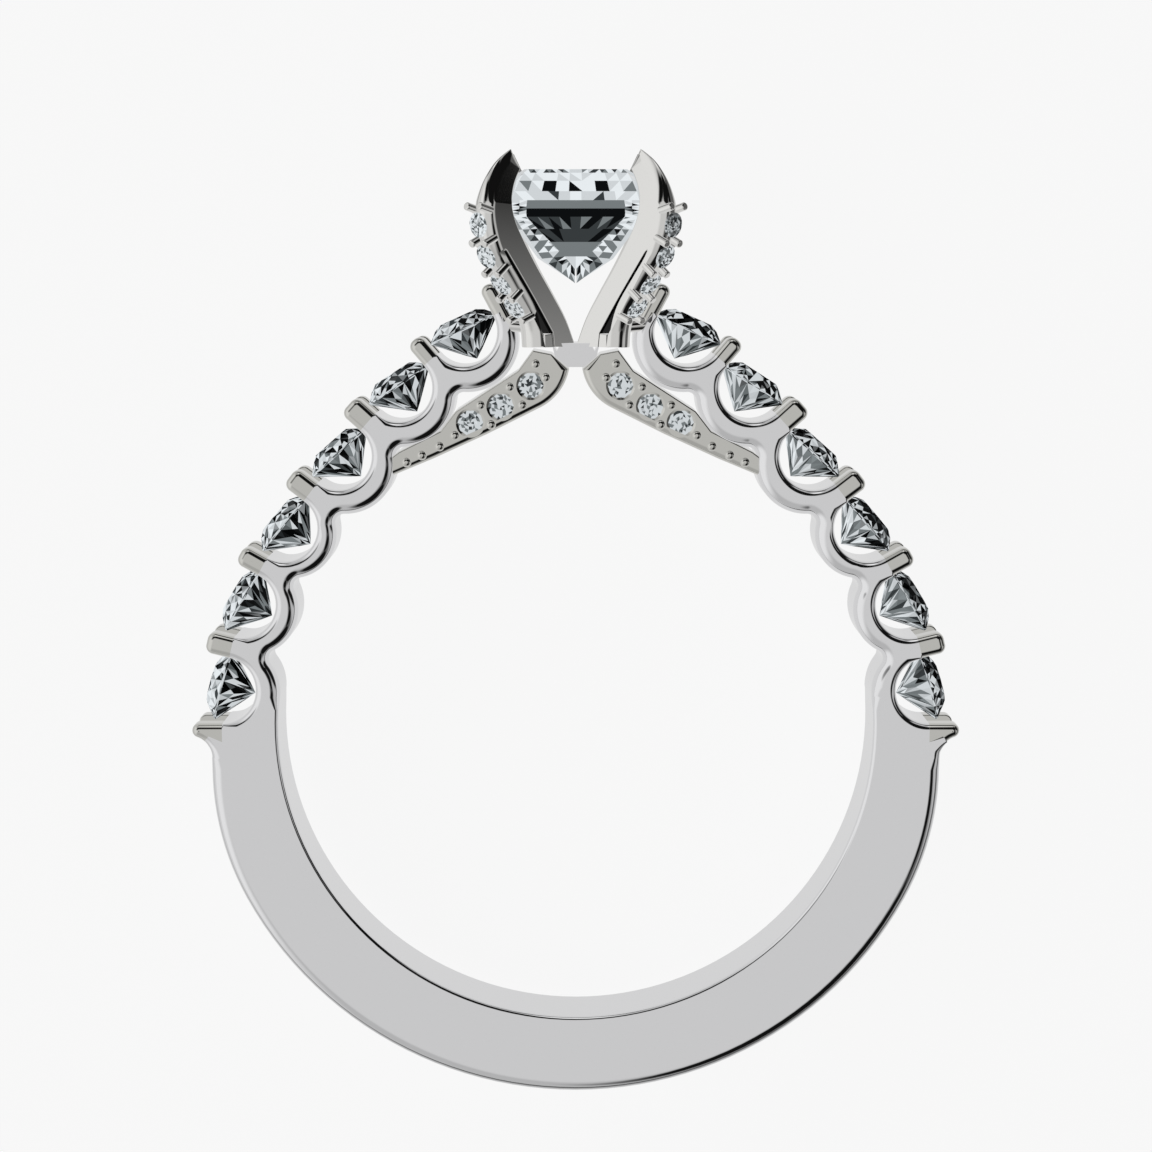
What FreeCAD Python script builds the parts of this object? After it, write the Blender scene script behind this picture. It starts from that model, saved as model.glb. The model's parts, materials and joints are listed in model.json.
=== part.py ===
"""Cathedral setting ring: a plain shank, two shoulders of round stones in shared prongs,
a jewelled bridge and a four-claw head that holds one square stone.

Ring frame while building, in millimetres: X to the right, Y from the finger hole up to the
head, Z along the finger axis towards the viewer, with the origin in the middle of the hole.
The last step lays the finished ring on its back, as it rests on a table.
"""
import FreeCAD, Part
import math
import os
from FreeCAD import Vector

# Finger hole and band
FINGER_RADIUS = 8.255
BAND_WIDTH = 2.3
SHANK_THICKNESS = 2.19
EDGE_RADIUS = 0.15

# The shank gets slightly thinner from this angle (below the horizontal) up to the first prong
TAPER_ANGLE = 28.0
TAPER_RADIUS = 7.8
LIP_RADIUS = 0.2
LIP_BLEND = 0.6
LIP_REACH = 10.66

# Shoulder stones, one row for each from the head down: place and how far each leans over
SHOULDER_STONES = [
    # x, y, lean in degrees
    (-3.10, 10.96, 24.4),
    (-4.89, 9.43, 33.0),
    (-6.57, 7.55, 41.6),
    (-8.09, 5.56, 50.0),
    (-9.27, 3.43, 59.0),
    (-9.86, 1.02, 74.8),
]
SHOULDER_DIAMETER = 2.0

# Cradles: each is a U round its stone's pavilion, and neighbours share a bar with two prongs.
# A drop is how far the circle's centre lies below the stone's girdle.
SEAT_RADIUS = 0.93
SEAT_DROP = 0.05
CRADLE_OUTER = 1.40
CRADLE_DROP = 0.33
NOTCH_BLEND = 0.25
PRONG_RISE = 0.71
PRONG_CORNER = 0.22
TOP_PRONG_LEAN = 28.0
TOP_PRONG_RISE = 0.83
PRONG_GAP = 0.96
PRONG_GAP_DEPTH = 0.05

# Bridge arms under the head
ARM_WIDTH = 2.0
ARM_ROUND = 0.22
ARM_BOTTOM = [
    # x, y along the lower edge, a gentle arc from the third cradle inwards
    (-5.45, 6.80),
    (-2.60, 8.03),
    (-0.95, 8.85),
]
ARM_END = (-0.18, 9.90)
ARM_TOP = [
    # x, y along the upper edge, from the middle of the ring outwards
    (-0.667, 10.31),
    (-1.176, 10.41),
    (-1.585, 9.85),
    (-3.30, 8.74),
    (-3.72, 8.20),
    (-4.86, 7.63),
    (-5.30, 7.30),
    (-5.55, 6.50),
]
BRIDGE_DIAMETER = 0.87
BRIDGE_STONES = [(-1.229, 9.451), (-2.05, 8.874), (-2.89, 8.422)]
BEAD_RADIUS = 0.145
BEAD_SINK = 0.06
BEAD_SIDE = 0.3
LONE_BEADS = [
    (-0.824, 9.668), (-1.10, 10.04),
    (-3.322, 8.083), (-3.742, 7.787), (-4.231, 7.541), (-4.654, 7.348),
]

# Base block where the head stands on the bridge
BASE_LOW = 9.94
BASE_HIGH = 10.60
BASE_HALF_X = (0.50, 0.66)
BASE_HALF_Z = (0.62, 0.86)
BASE_NOTCH_X = 0.52
BASE_NOTCH_HALF = 0.13
BASE_NOTCH_DEPTH = 0.22

# Head claws, in the diagonal plane: d is the distance from the head's axis. Each claw is one
# flat-sided profile whose back is rounded, and a slot parts its lower half into strap and rail.
# From the taper's start its two sides lean together, so that it ends in a point.
CLAW_HALF = 0.33
CLAW_TAPER_FROM = 14.40
CLAW_TIP_HALF = 0.03
CLAW_ROUND = 0.27
CLAW_FOOT = 10.50
CLAW_INSIDE = [
    # d, y from the foot up to the end face
    (0.33, CLAW_FOOT), (0.73, 11.27), (1.22, 11.94), (1.78, 12.66), (2.30, 13.40),
    (2.62, 13.95), (2.72, 14.40), (2.60, 14.78), (2.44, 15.05), (2.24, 15.30),
]
CLAW_BACK = [
    # d, y from the foot up to the tip
    (1.92, CLAW_FOOT), (1.97, 10.95), (2.17, 11.47), (2.77, 12.25), (3.24, 12.86),
    (3.53, 13.50), (3.64, 14.20), (3.48, 14.83), (3.21, 15.26), (2.92, 15.55), (2.47, 15.82),
]
SLOT = [
    # d, y round the slot: up the strap's side, then down the rail's
    (1.26, 10.87), (1.95, 11.79), (2.95, 13.04), (3.05, 13.03), (2.14, 11.85), (1.43, 10.85),
]

# Pairs of pins and the stones between them, along the back of each claw
PIN_ROWS = [14.23, 13.38, 12.60, 11.92, 11.30]
PIN_RADIUS = 0.09
PIN_SIDE = 0.25
PIN_RISE = 0.22
PIN_SINK = 0.20
PRONG_STONE_DIAMETER = 0.68

# Solder joint between the top cradle and the rail beside it
JOINT_RADIUS = 0.16
JOINT_FROM = (-1.95, 11.10, 0.95)
JOINT_TO = (-1.36, 11.05, 1.10)

# Centre stone: half width and flat half length at each level
CENTRE_LEVELS = [
    # y, half_width, flat_half
    (15.30, 1.39, 1.28),
    (15.08, 1.72, 1.57),
    (14.46, 1.90, 1.71),
    (14.12, 1.90, 1.71),
    (13.68, 1.60, 1.44),
    (12.90, 1.02, 0.92),
]
CENTRE_CULET = 12.23

# Round cut, as shares of the girdle radius
TABLE_SHARE = 0.56
STAR_SHARE = 0.76
CROWN_SHARE = 0.34
GIRDLE_SHARE = 0.06
PAVILION_SHARE = 0.86
LOWER_SHARE = 0.25

# Clearance between stone and metal, how far a bridge stone's table stands above the metal,
# and how far the girdle of a stone in a claw's rail stands above the rail
STONE_GAP = 0.025
PAVE_RISE = 0.05
RAIL_STONE_RISE = 0.09

ROOT2 = math.sqrt(2.0)
HALF_BAND = BAND_WIDTH / 2.0
SHANK_OUTER = FINGER_RADIUS + SHANK_THICKNESS


def polar(radius, degrees, centre=(0.0, 0.0)):
    """A point of the side view at an angle measured from +X."""
    a = math.radians(degrees)
    return (centre[0] + radius * math.cos(a), centre[1] + radius * math.sin(a))


def add(p, q, k=1.0):
    return (p[0] + k * q[0], p[1] + k * q[1])


def unit(p):
    n = math.hypot(p[0], p[1])
    return (p[0] / n, p[1] / n)


def turned(p):
    """The direction a quarter turn to the left of p."""
    return (-p[1], p[0])


def toward(p, q):
    return unit((q[0] - p[0], q[1] - p[1]))


def meeting(c1, r1, c2, r2, side):
    """Where two circles cross; side picks the left (+1) or right (-1) of c1 to c2."""
    gap = math.hypot(c2[0] - c1[0], c2[1] - c1[1])
    along = (gap * gap + r1 * r1 - r2 * r2) / (2.0 * gap)
    off = math.sqrt(r1 * r1 - along * along)
    t = toward(c1, c2)
    return add(add(c1, t, along), turned(t), side * off)


def at(p, z):
    return Vector(p[0], p[1], z)


def line(p, q, z):
    return Part.LineSegment(at(p, z), at(q, z)).toShape()


def arc(p, middle, q, z):
    return Part.Arc(at(p, z), at(middle, z), at(q, z)).toShape()


def arc_about(centre, p, via, q, z):
    """An arc about a centre from p to q whose middle lies towards via."""
    radius = math.hypot(p[0] - centre[0], p[1] - centre[1])
    return arc(p, add(centre, toward(centre, via), radius), q, z)


def slab(edges, low, depth):
    """A closed outline drawn at height low, extruded along Z."""
    return Part.Face(Part.Wire(edges)).extrude(Vector(0, 0, depth))


def below_stones(drop):
    """A point under each shoulder stone, nearer the finger by the drop, and the stone's axis."""
    centres = []
    for x, y, lean in SHOULDER_STONES:
        a = math.radians(lean)
        axis = (-math.sin(a), math.cos(a))
        centres.append((add((x, y), axis, -drop), axis))
    return centres


def cradle_radius(centre):
    """Outer radius of a cradle, held back where it would reach into the finger hole."""
    return min(CRADLE_OUTER, math.hypot(centre[0], centre[1]) - FINGER_RADIUS)


def rise_above(foot, level, outward):
    return (level[0] - foot[0]) * outward[0] + (level[1] - foot[1]) * outward[1]


def prong_tip(foot_in, foot_out, level, outward, z):
    """Two sides and a rounded end of a bar between two feet, as high as the level point."""
    across = (outward[1], -outward[0])
    top_in = add(foot_in, outward, rise_above(foot_in, level, outward))
    top_out = add(foot_out, outward, rise_above(foot_out, level, outward))
    c = PRONG_CORNER
    mid = c * (1.0 - 1.0 / ROOT2)
    a = add(top_in, outward, -c)
    b = add(top_in, across, c)
    ab = add(add(top_in, outward, -mid), across, mid)
    d = add(top_out, across, -c)
    e = add(top_out, outward, -c)
    de = add(add(top_out, outward, -mid), across, -mid)
    return [
        line(foot_in, a, z), arc(a, ab, b, z), line(b, d, z), arc(d, de, e, z),
        line(e, foot_out, z),
    ]


def shoulder_outline(z):
    """Left half of the side view, from the bottom of the shank round the shoulder and back."""
    seats = below_stones(SEAT_DROP)
    centres = below_stones(CRADLE_DROP)
    last = centres[-1][0]
    edges = []

    # Shank outside, its thinner upper stretch and the lip under the last stone
    bottom = (0.0, -SHANK_OUTER)
    taper = polar(SHANK_OUTER, 180.0 + TAPER_ANGLE)
    edges.append(arc_about((0, 0), bottom, polar(1, 180.0 + (TAPER_ANGLE + 90.0) / 2), taper, z))
    taper_centre = polar(SHANK_OUTER - TAPER_RADIUS, 180.0 + TAPER_ANGLE)
    lip_top = seats[-1][0][1] - SEAT_RADIUS
    lip = (-LIP_REACH + LIP_RADIUS, lip_top - LIP_RADIUS)
    hollow = meeting(lip, LIP_RADIUS + LIP_BLEND, taper_centre, TAPER_RADIUS + LIP_BLEND, -1)
    leave = add(hollow, toward(hollow, taper_centre), LIP_BLEND)
    join = add(hollow, toward(hollow, lip), LIP_BLEND)
    between = toward(hollow, ((leave[0] + join[0]) / 2, (leave[1] + join[1]) / 2))
    edges.append(arc_about(taper_centre, taper, ((taper[0] + leave[0]) / 2,
                                                 (taper[1] + leave[1]) / 2), leave, z))
    edges.append(arc_about(hollow, leave, add(hollow, between), join, z))
    above = (lip[0], lip_top)
    edges.append(arc_about(lip, join, add(lip, (-1.0, 0.15)), above, z))
    foot = (seats[-1][0][0], lip_top)
    edges.append(line(above, foot, z))

    # Up the shoulder: each U, then the bar that it shares with the next one
    for i in range(len(seats) - 1, 0, -1):
        seat, axis = seats[i]
        nearer = seats[i - 1][0]
        t = toward(seat, nearer)
        side = add(seat, t, SEAT_RADIUS)
        edges.append(arc_about(seat, foot, add(seat, axis, -1.0), side, z))
        other = add(nearer, t, -SEAT_RADIUS)
        edges.extend(prong_tip(side, other, add(side, turned(t), PRONG_RISE), turned(t), z))
        foot = other

    # The top cradle ends in a free prong that leans towards the head
    seat, axis = seats[0]
    lean = math.radians(TOP_PRONG_LEAN)
    across = (math.cos(lean), math.sin(lean))
    side = add(seat, across, SEAT_RADIUS)
    outer = add(centres[0][0], across, CRADLE_OUTER)
    edges.append(arc_about(seat, foot, add(seat, axis, -1.0), side, z))
    level = add(side, turned(across), TOP_PRONG_RISE)
    edges.extend(prong_tip(side, outer, level, turned(across), z))

    # Back down the finger side: round humps with a soft notch between each two
    here = outer
    for i in range(len(centres) - 1):
        c1 = centres[i][0]
        c2 = centres[i + 1][0]
        r1, r2 = cradle_radius(c1), cradle_radius(c2)
        notch = meeting(c1, r1 + NOTCH_BLEND, c2, r2 + NOTCH_BLEND, 1)
        start = add(notch, toward(notch, c1), NOTCH_BLEND)
        end = add(notch, toward(notch, c2), NOTCH_BLEND)
        half = ((here[0] + start[0]) / 2 - c1[0], (here[1] + start[1]) / 2 - c1[1])
        edges.append(arc_about(c1, here, add(c1, half), start, z))
        middle = ((start[0] + end[0]) / 2, (start[1] + end[1]) / 2)
        edges.append(arc_about(notch, start, middle, end, z))
        here = end
    touch = add((0, 0), unit(last), FINGER_RADIUS)
    half = ((here[0] + touch[0]) / 2, (here[1] + touch[1]) / 2)
    edges.append(arc_about(last, here, half, touch, z))
    inside = (0.0, -FINGER_RADIUS)
    edges.append(arc_about((0, 0), touch, polar(1, 225.0), inside, z))
    edges.append(line(inside, bottom, z))
    return edges


def both_sides(shape):
    """A shape of the left half with its mirror image on the right."""
    return [shape, shape.mirror(Vector(0, 0, 0), Vector(1, 0, 0))]


def front_and_back(shape):
    return [shape, shape.mirror(Vector(0, 0, 0), Vector(0, 0, 1))]


def band_half():
    """Shank and shoulder of the left half, with soft edges on its two faces."""
    body = slab(shoulder_outline(-HALF_BAND), -HALF_BAND, BAND_WIDTH)
    near = 1e-4
    rims = []
    for edge in body.Edges:
        box = edge.BoundBox
        flat = abs(box.ZMax - box.ZMin) < near
        on_cut = box.XMax > -near and box.XMin > -near
        if flat and not on_cut:
            rims.append(edge)
    return body.makeFillet(EDGE_RADIUS, rims)


def prong_gaps():
    """Channels that part each shared bar into a front and a back prong."""
    stones = [(x, y) for x, y, lean in SHOULDER_STONES]
    gaps = []
    width = SHOULDER_DIAMETER / 2.0
    stretch = SHOULDER_DIAMETER
    for i in range(len(stones) - 1):
        t = toward(stones[i + 1], stones[i])
        middle = ((stones[i][0] + stones[i + 1][0]) / 2, (stones[i][1] + stones[i + 1][1]) / 2)
        gaps.append((add(middle, turned(t), -PRONG_GAP_DEPTH), t, width))
    lean = math.radians(TOP_PRONG_LEAN)
    across = (math.cos(lean), math.sin(lean))
    gaps.append((add(stones[0], across, SHOULDER_DIAMETER / 2.0 + 0.2), across, width))
    gaps.append((add(stones[-1], (0.0, -width)), (0.0, 1.0), width))
    boxes = []
    for middle, t, size in gaps:
        out = turned(t)
        corners = [
            add(middle, t, -size / 2), add(middle, t, size / 2),
            add(add(middle, t, size / 2), out, stretch),
            add(add(middle, t, -size / 2), out, stretch),
        ]
        low = -PRONG_GAP / 2.0
        edges = [line(corners[k], corners[(k + 1) % 4], low) for k in range(4)]
        boxes.append(slab(edges, low, PRONG_GAP))
    return boxes


def bridge_arm():
    """Left arm of the bridge: a flat bar with rounded lower edges that turns up to the head."""
    z = -ARM_WIDTH / 2.0
    start, middle, leave = ARM_BOTTOM
    under = arc(start, middle, leave, z)
    centre = under.Curve.Center
    up = turned(turned(toward((centre.x, centre.y), leave)))
    chord = (ARM_END[0] - leave[0], ARM_END[1] - leave[1])
    inward = (-up[0], -up[1])
    side = chord[0] * inward[0] + chord[1] * inward[1]
    sweep = (chord[0] ** 2 + chord[1] ** 2) / (2.0 * side)
    turn_at = add(leave, inward, sweep)
    half_way = ((leave[0] + ARM_END[0]) / 2, (leave[1] + ARM_END[1]) / 2)
    edges = [under, arc_about(turn_at, leave, half_way, ARM_END, z)]
    points = [ARM_END] + ARM_TOP + [start]
    for p, q in zip(points[:-1], points[1:]):
        edges.append(line(p, q, z))
    body = slab(edges, z, ARM_WIDTH)
    rims = []
    for edge in body.Edges:
        box = edge.BoundBox
        if isinstance(edge.Curve, Part.Circle) and abs(box.ZMax - box.ZMin) < 1e-4:
            rims.append(edge)
    return body.makeFillet(ARM_ROUND, rims)


def bead_places():
    """Beads beside the joints between bridge stones, and the lone ones that trail off."""
    places = list(LONE_BEADS)
    for p, q in zip(BRIDGE_STONES[:-1], BRIDGE_STONES[1:]):
        middle = ((p[0] + q[0]) / 2, (p[1] + q[1]) / 2)
        side = turned(toward(p, q))
        places.append(add(middle, side, BEAD_SIDE))
        places.append(add(middle, side, -BEAD_SIDE))
    return places


def beads():
    made = []
    for place in bead_places():
        made.append(Part.makeSphere(BEAD_RADIUS, at(place, ARM_WIDTH / 2.0 - BEAD_SINK)))
    return made


def base_block():
    """Inverted frustum between the arms, with two small notches in its top."""
    wires = []
    for y, hx, hz in ((BASE_LOW, BASE_HALF_X[0], BASE_HALF_Z[0]),
                      (BASE_HIGH, BASE_HALF_X[1], BASE_HALF_Z[1])):
        corners = [Vector(hx, y, hz), Vector(-hx, y, hz), Vector(-hx, y, -hz), Vector(hx, y, -hz)]
        wires.append(Part.makePolygon(corners + [corners[0]]))
    block = Part.makeLoft(wires, True, True)
    z = -BASE_HALF_Z[1]
    for x in (-BASE_NOTCH_X, BASE_NOTCH_X):
        low = (x, BASE_HIGH - BASE_NOTCH_DEPTH)
        left = (x - BASE_NOTCH_HALF, BASE_HIGH)
        right = (x + BASE_NOTCH_HALF, BASE_HIGH)
        notch = slab([line(low, right, z), line(right, left, z), line(left, low, z)],
                     z, 2.0 * BASE_HALF_Z[1])
        block = block.cut(notch)
    return block


def diagonal(d, p, y):
    """A point of the front left claw: d out along the diagonal, p across it, at height y."""
    return Vector((p - d) / ROOT2, y, (p + d) / ROOT2)


def across(point):
    """A profile point of the claw on the near side of the diagonal plane."""
    return diagonal(point[0], -CLAW_HALF, point[1])


def smooth_edge(points):
    curve = Part.BSplineCurve()
    curve.interpolate([across(p) for p in points])
    return curve.toShape()


def claw():
    """Front left claw: strap, rail and tip in one profile, rounded along its back."""
    width = diagonal(0.0, 2.0 * CLAW_HALF, 0.0)
    back = smooth_edge(CLAW_BACK)
    outline = Part.Wire([
        smooth_edge(CLAW_INSIDE),
        Part.LineSegment(across(CLAW_INSIDE[-1]), across(CLAW_BACK[-1])).toShape(),
        back,
        Part.LineSegment(across(CLAW_BACK[0]), across(CLAW_INSIDE[0])).toShape(),
    ])
    body = Part.Face(outline).extrude(width)
    middle = back.CenterOfMass
    edges = []
    for edge in body.Edges:
        same = abs(edge.Length - back.Length) < 1e-6
        beside = min(edge.CenterOfMass.distanceToPoint(middle),
                     edge.CenterOfMass.distanceToPoint(middle + width)) < 1e-3
        if same and beside:
            edges.append(edge)
    body = body.makeFillet(CLAW_ROUND, edges)
    corners = [across(p) for p in SLOT]
    slot = Part.Face(Part.makePolygon(corners + [corners[0]])).extrude(width)
    return body.cut([slot] + taper_cuts())


def taper_cuts():
    """What is taken off both sides of a claw's upper end to bring it to a point."""
    tip = CLAW_BACK[-1][1]
    far = CLAW_BACK[0][1]
    cuts = []
    for side in (1.0, -1.0):
        corners = [
            diagonal(0.0, side * CLAW_HALF, CLAW_TAPER_FROM),
            diagonal(0.0, side * CLAW_TIP_HALF, tip),
            diagonal(0.0, side * CLAW_TIP_HALF, tip + CLAW_HALF),
            diagonal(0.0, side * 2.0 * CLAW_HALF, tip + CLAW_HALF),
            diagonal(0.0, side * 2.0 * CLAW_HALF, CLAW_TAPER_FROM),
        ]
        face = Part.Face(Part.makePolygon(corners + [corners[0]]))
        cuts.append(face.extrude(diagonal(far, 0.0, 0.0)))
    return cuts


def rail_point(y):
    """Distance of the claw's back at a height, and its outward normal in the (d, y) plane."""
    for low, high in zip(CLAW_BACK[:-1], CLAW_BACK[1:]):
        if low[1] <= y <= high[1]:
            share = (y - low[1]) / (high[1] - low[1])
            d = low[0] + share * (high[0] - low[0])
            along = toward(low, high)
            return d, (along[1], -along[0])
    raise ValueError("height outside the claw")


def pins():
    """Round pins in pairs along the claw's back, square to it."""
    made = []
    for y in PIN_ROWS:
        d, normal = rail_point(y)
        for p in (-PIN_SIDE, PIN_SIDE):
            root = diagonal(d - PIN_SINK * normal[0], p, y - PIN_SINK * normal[1])
            tip = diagonal(d + PIN_RISE * normal[0], p, y + PIN_RISE * normal[1])
            made.append(Part.makeCylinder(PIN_RADIUS, (tip - root).Length, root, tip - root))
            made.append(Part.makeSphere(PIN_RADIUS, tip))
    return made


def faceted(faces):
    """A closed solid from lists of corners."""
    made = [Part.Face(Part.makePolygon(list(c) + [c[0]])) for c in faces]
    solid = Part.Solid(Part.Shell(made))
    if solid.Volume < 0:
        solid.reverse()
    return solid


def round_stone(diameter):
    """Round brilliant with its axis along +Z and the middle of its girdle at the origin."""
    r = diameter / 2.0
    eighth = math.pi / 4.0
    cos_half = math.cos(eighth / 2.0)
    girdle = GIRDLE_SHARE * r / 2.0
    crown, pavilion = CROWN_SHARE * r, PAVILION_SHARE * r
    star_z = girdle + crown * (1.0 - STAR_SHARE * cos_half) / (1.0 - TABLE_SHARE)
    lower_z = -girdle - pavilion * (1.0 - LOWER_SHARE * cos_half)

    def ring(share, z, shift):
        points = []
        for k in range(8):
            a = eighth * (k + shift)
            points.append(Vector(share * r * math.cos(a), share * r * math.sin(a), z))
        return points

    table = ring(TABLE_SHARE, girdle + crown, 0.0)
    star = ring(STAR_SHARE, star_z, 0.5)
    top, top_half = ring(1.0, girdle, 0.0), ring(1.0, girdle, 0.5)
    low, low_half = ring(1.0, -girdle, 0.0), ring(1.0, -girdle, 0.5)
    lower = ring(LOWER_SHARE, lower_z, 0.5)
    culet = Vector(0, 0, -girdle - pavilion)
    faces = [table]
    for k in range(8):
        n, b = (k + 1) % 8, (k - 1) % 8
        faces.append([table[k], star[b], top[k], star[k]])
        faces.append([table[k], star[k], table[n]])
        faces.append([star[k], top[k], top_half[k]])
        faces.append([star[k], top_half[k], top[n]])
        faces.append([top[k], low[k], low_half[k], top_half[k]])
        faces.append([top_half[k], low_half[k], low[n], top[n]])
        faces.append([lower[k], low_half[k], low[k]])
        faces.append([lower[k], low[n], low_half[k]])
        faces.append([culet, lower[k], low[k], lower[b]])
    return faceted(faces)


def stone_room(diameter, over):
    """The space a round stone needs: the stone with its clearance, open for a way above."""
    r = diameter / 2.0
    girdle = GIRDLE_SHARE * r / 2.0
    gap = STONE_GAP
    points = [
        Vector(0, 0, -girdle - PAVILION_SHARE * r - 1.5 * gap),
        Vector(r + gap, 0, -girdle - gap / 2),
        Vector(r + gap, 0, girdle + gap / 2),
        Vector(TABLE_SHARE * r + gap, 0, girdle + CROWN_SHARE * r + gap),
        Vector(TABLE_SHARE * r + gap, 0, over),
        Vector(0, 0, over),
    ]
    face = Part.Face(Part.makePolygon(points + [points[0]]))
    return face.revolve(Vector(0, 0, 0), Vector(0, 0, 1), 360)


def moved(shape, place, axis):
    """A copy with its own +Z turned to an axis and its origin at a place."""
    copy = shape.copy()
    copy.Placement = FreeCAD.Placement(place, FreeCAD.Rotation(Vector(0, 0, 1), axis))
    return copy


def centre_ring(y, half, flat, grow):
    """Eight corners of the square stone at one level, grown all round for its seat."""
    a, f = half + grow, flat + 0.4 * grow
    signs = ((1, 1), (-1, 1), (-1, -1), (1, -1))
    points = []
    for k in range(4):
        sx, sz = signs[k]
        pair = [Vector(sx * a, y, sz * f), Vector(sx * f, y, sz * a)]
        points.extend(pair if k % 2 == 0 else pair[::-1])
    return points


def centre_stone(grow=0.0):
    """Square stone with cut corners: stepped crown, thick girdle and three-tier pavilion."""
    rings = [centre_ring(y, half, flat, grow) for y, half, flat in CENTRE_LEVELS]
    culet = Vector(0, CENTRE_CULET - grow, 0)
    faces = [rings[0]]
    for upper, lower in zip(rings[:-1], rings[1:]):
        for k in range(8):
            n = (k + 1) % 8
            faces.append([upper[k], upper[n], lower[n], lower[k]])
    for k in range(8):
        faces.append([rings[-1][k], rings[-1][(k + 1) % 8], culet])
    return faceted(faces)


def place_stones():
    """Every round stone as (name, diameter, place, axis) in the ring frame."""
    places = []
    for i, (x, y, lean) in enumerate(SHOULDER_STONES, 1):
        a = math.radians(lean)
        for side, name in ((1, "left"), (-1, "right")):
            axis = Vector(-side * math.sin(a), math.cos(a), 0)
            places.append((f"shoulder_stone_{name}_{i}", SHOULDER_DIAMETER,
                           Vector(side * x, y, 0), axis))
    depth = -RAIL_STONE_RISE
    for i, (above, below) in enumerate(zip(PIN_ROWS[:-1], PIN_ROWS[1:]), 1):
        y = (above + below) / 2.0
        d, normal = rail_point(y)
        seat = diagonal(d - depth * normal[0], 0.0, y - depth * normal[1])
        axis = diagonal(normal[0], 0.0, normal[1])
        for sz, face in ((1, "front"), (-1, "back")):
            for sx, side in ((1, "left"), (-1, "right")):
                places.append((f"prong_stone_{face}_{side}_{i}", PRONG_STONE_DIAMETER,
                               Vector(sx * seat.x, seat.y, sz * seat.z),
                               Vector(sx * axis.x, axis.y, sz * axis.z)))
    depth = (BRIDGE_DIAMETER / 2.0) * (CROWN_SHARE + GIRDLE_SHARE / 2.0) - PAVE_RISE
    for i, (x, y) in enumerate(BRIDGE_STONES, 1):
        for sz, face in ((1, "front"), (-1, "back")):
            for sx, side in ((1, "left"), (-1, "right")):
                places.append((f"bridge_stone_{face}_{side}_{i}", BRIDGE_DIAMETER,
                               Vector(sx * x, y, sz * (ARM_WIDTH / 2.0 - depth)),
                               Vector(0, 0, sz)))
    return places


def ring_mount(places):
    """All the metal: one soldered piece with a seat cut for every stone."""
    band = both_sides(band_half())
    band = band[0].fuse(band[1]).removeSplitter()
    channels = []
    for gap in prong_gaps():
        channels.extend(both_sides(gap))
    band = band.cut(channels)

    head_corner = [claw()] + pins()
    start, end = Vector(*JOINT_FROM), Vector(*JOINT_TO)
    head_corner.append(Part.makeCylinder(JOINT_RADIUS, (end - start).Length, start, end - start))
    pieces = []
    for shape in head_corner + beads():
        for copy in front_and_back(shape):
            pieces.extend(both_sides(copy))
    pieces.extend(both_sides(bridge_arm()))
    pieces.append(base_block())
    metal = band.fuse(pieces)

    rooms = [centre_stone(STONE_GAP)]
    for name, diameter, place, axis in places:
        over = diameter * (0.35 if name.startswith("shoulder") else 0.6)
        rooms.append(moved(stone_room(diameter, over), place, axis))
    return metal.cut(rooms)


def resting(shapes):
    """Lay the ring on its back: on its rear claws and pins, and on the shank's rear edge."""
    mount = shapes["ring_mount"]
    box = mount.BoundBox
    low_y = -SHANK_OUTER + EDGE_RADIUS
    row = PIN_ROWS[0]
    tilt = math.atan2(-HALF_BAND - box.ZMin, row - low_y)
    turn = FreeCAD.Placement(Vector(0, 0, 0),
                             FreeCAD.Rotation(Vector(1, 0, 0), math.degrees(tilt)))
    laid = {}
    for name, shape in shapes.items():
        copy = shape.copy()
        copy.Placement = turn.multiply(copy.Placement)
        laid[name] = copy
    box = laid["ring_mount"].optimalBoundingBox(True, False)
    shift = Vector(0, -(box.YMin + box.YMax) / 2.0, -box.ZMin)
    for shape in laid.values():
        shape.translate(shift)
    hole = turn.multVec(Vector(0, 0, 0)) + shift
    axis = turn.multVec(Vector(0, 0, 1))
    print("tilt_deg", round(math.degrees(tilt), 4))
    print("hole_mm", [round(v, 4) for v in hole], "axis", [round(v, 6) for v in axis])
    return laid


def main():
    places = place_stones()
    shapes = {"ring_mount": ring_mount(places), "centre_stone": centre_stone()}
    templates = {}
    for name, diameter, place, axis in places:
        if diameter not in templates:
            templates[diameter] = round_stone(diameter)
        shapes[name] = moved(templates[diameter], place, axis)
    os.makedirs("parts", exist_ok=True)
    for name, shape in resting(shapes).items():
        print(name, "solids", len(shape.Solids), "valid", shape.isValid(),
              "volume_mm3", round(shape.Volume, 4))
        shape.exportStep(f"parts/{name}.step")


main()
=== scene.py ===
import bpy
import json
import math
from mathutils import Matrix, Vector
from mathutils.geometry import tessellate_polygon


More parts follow.
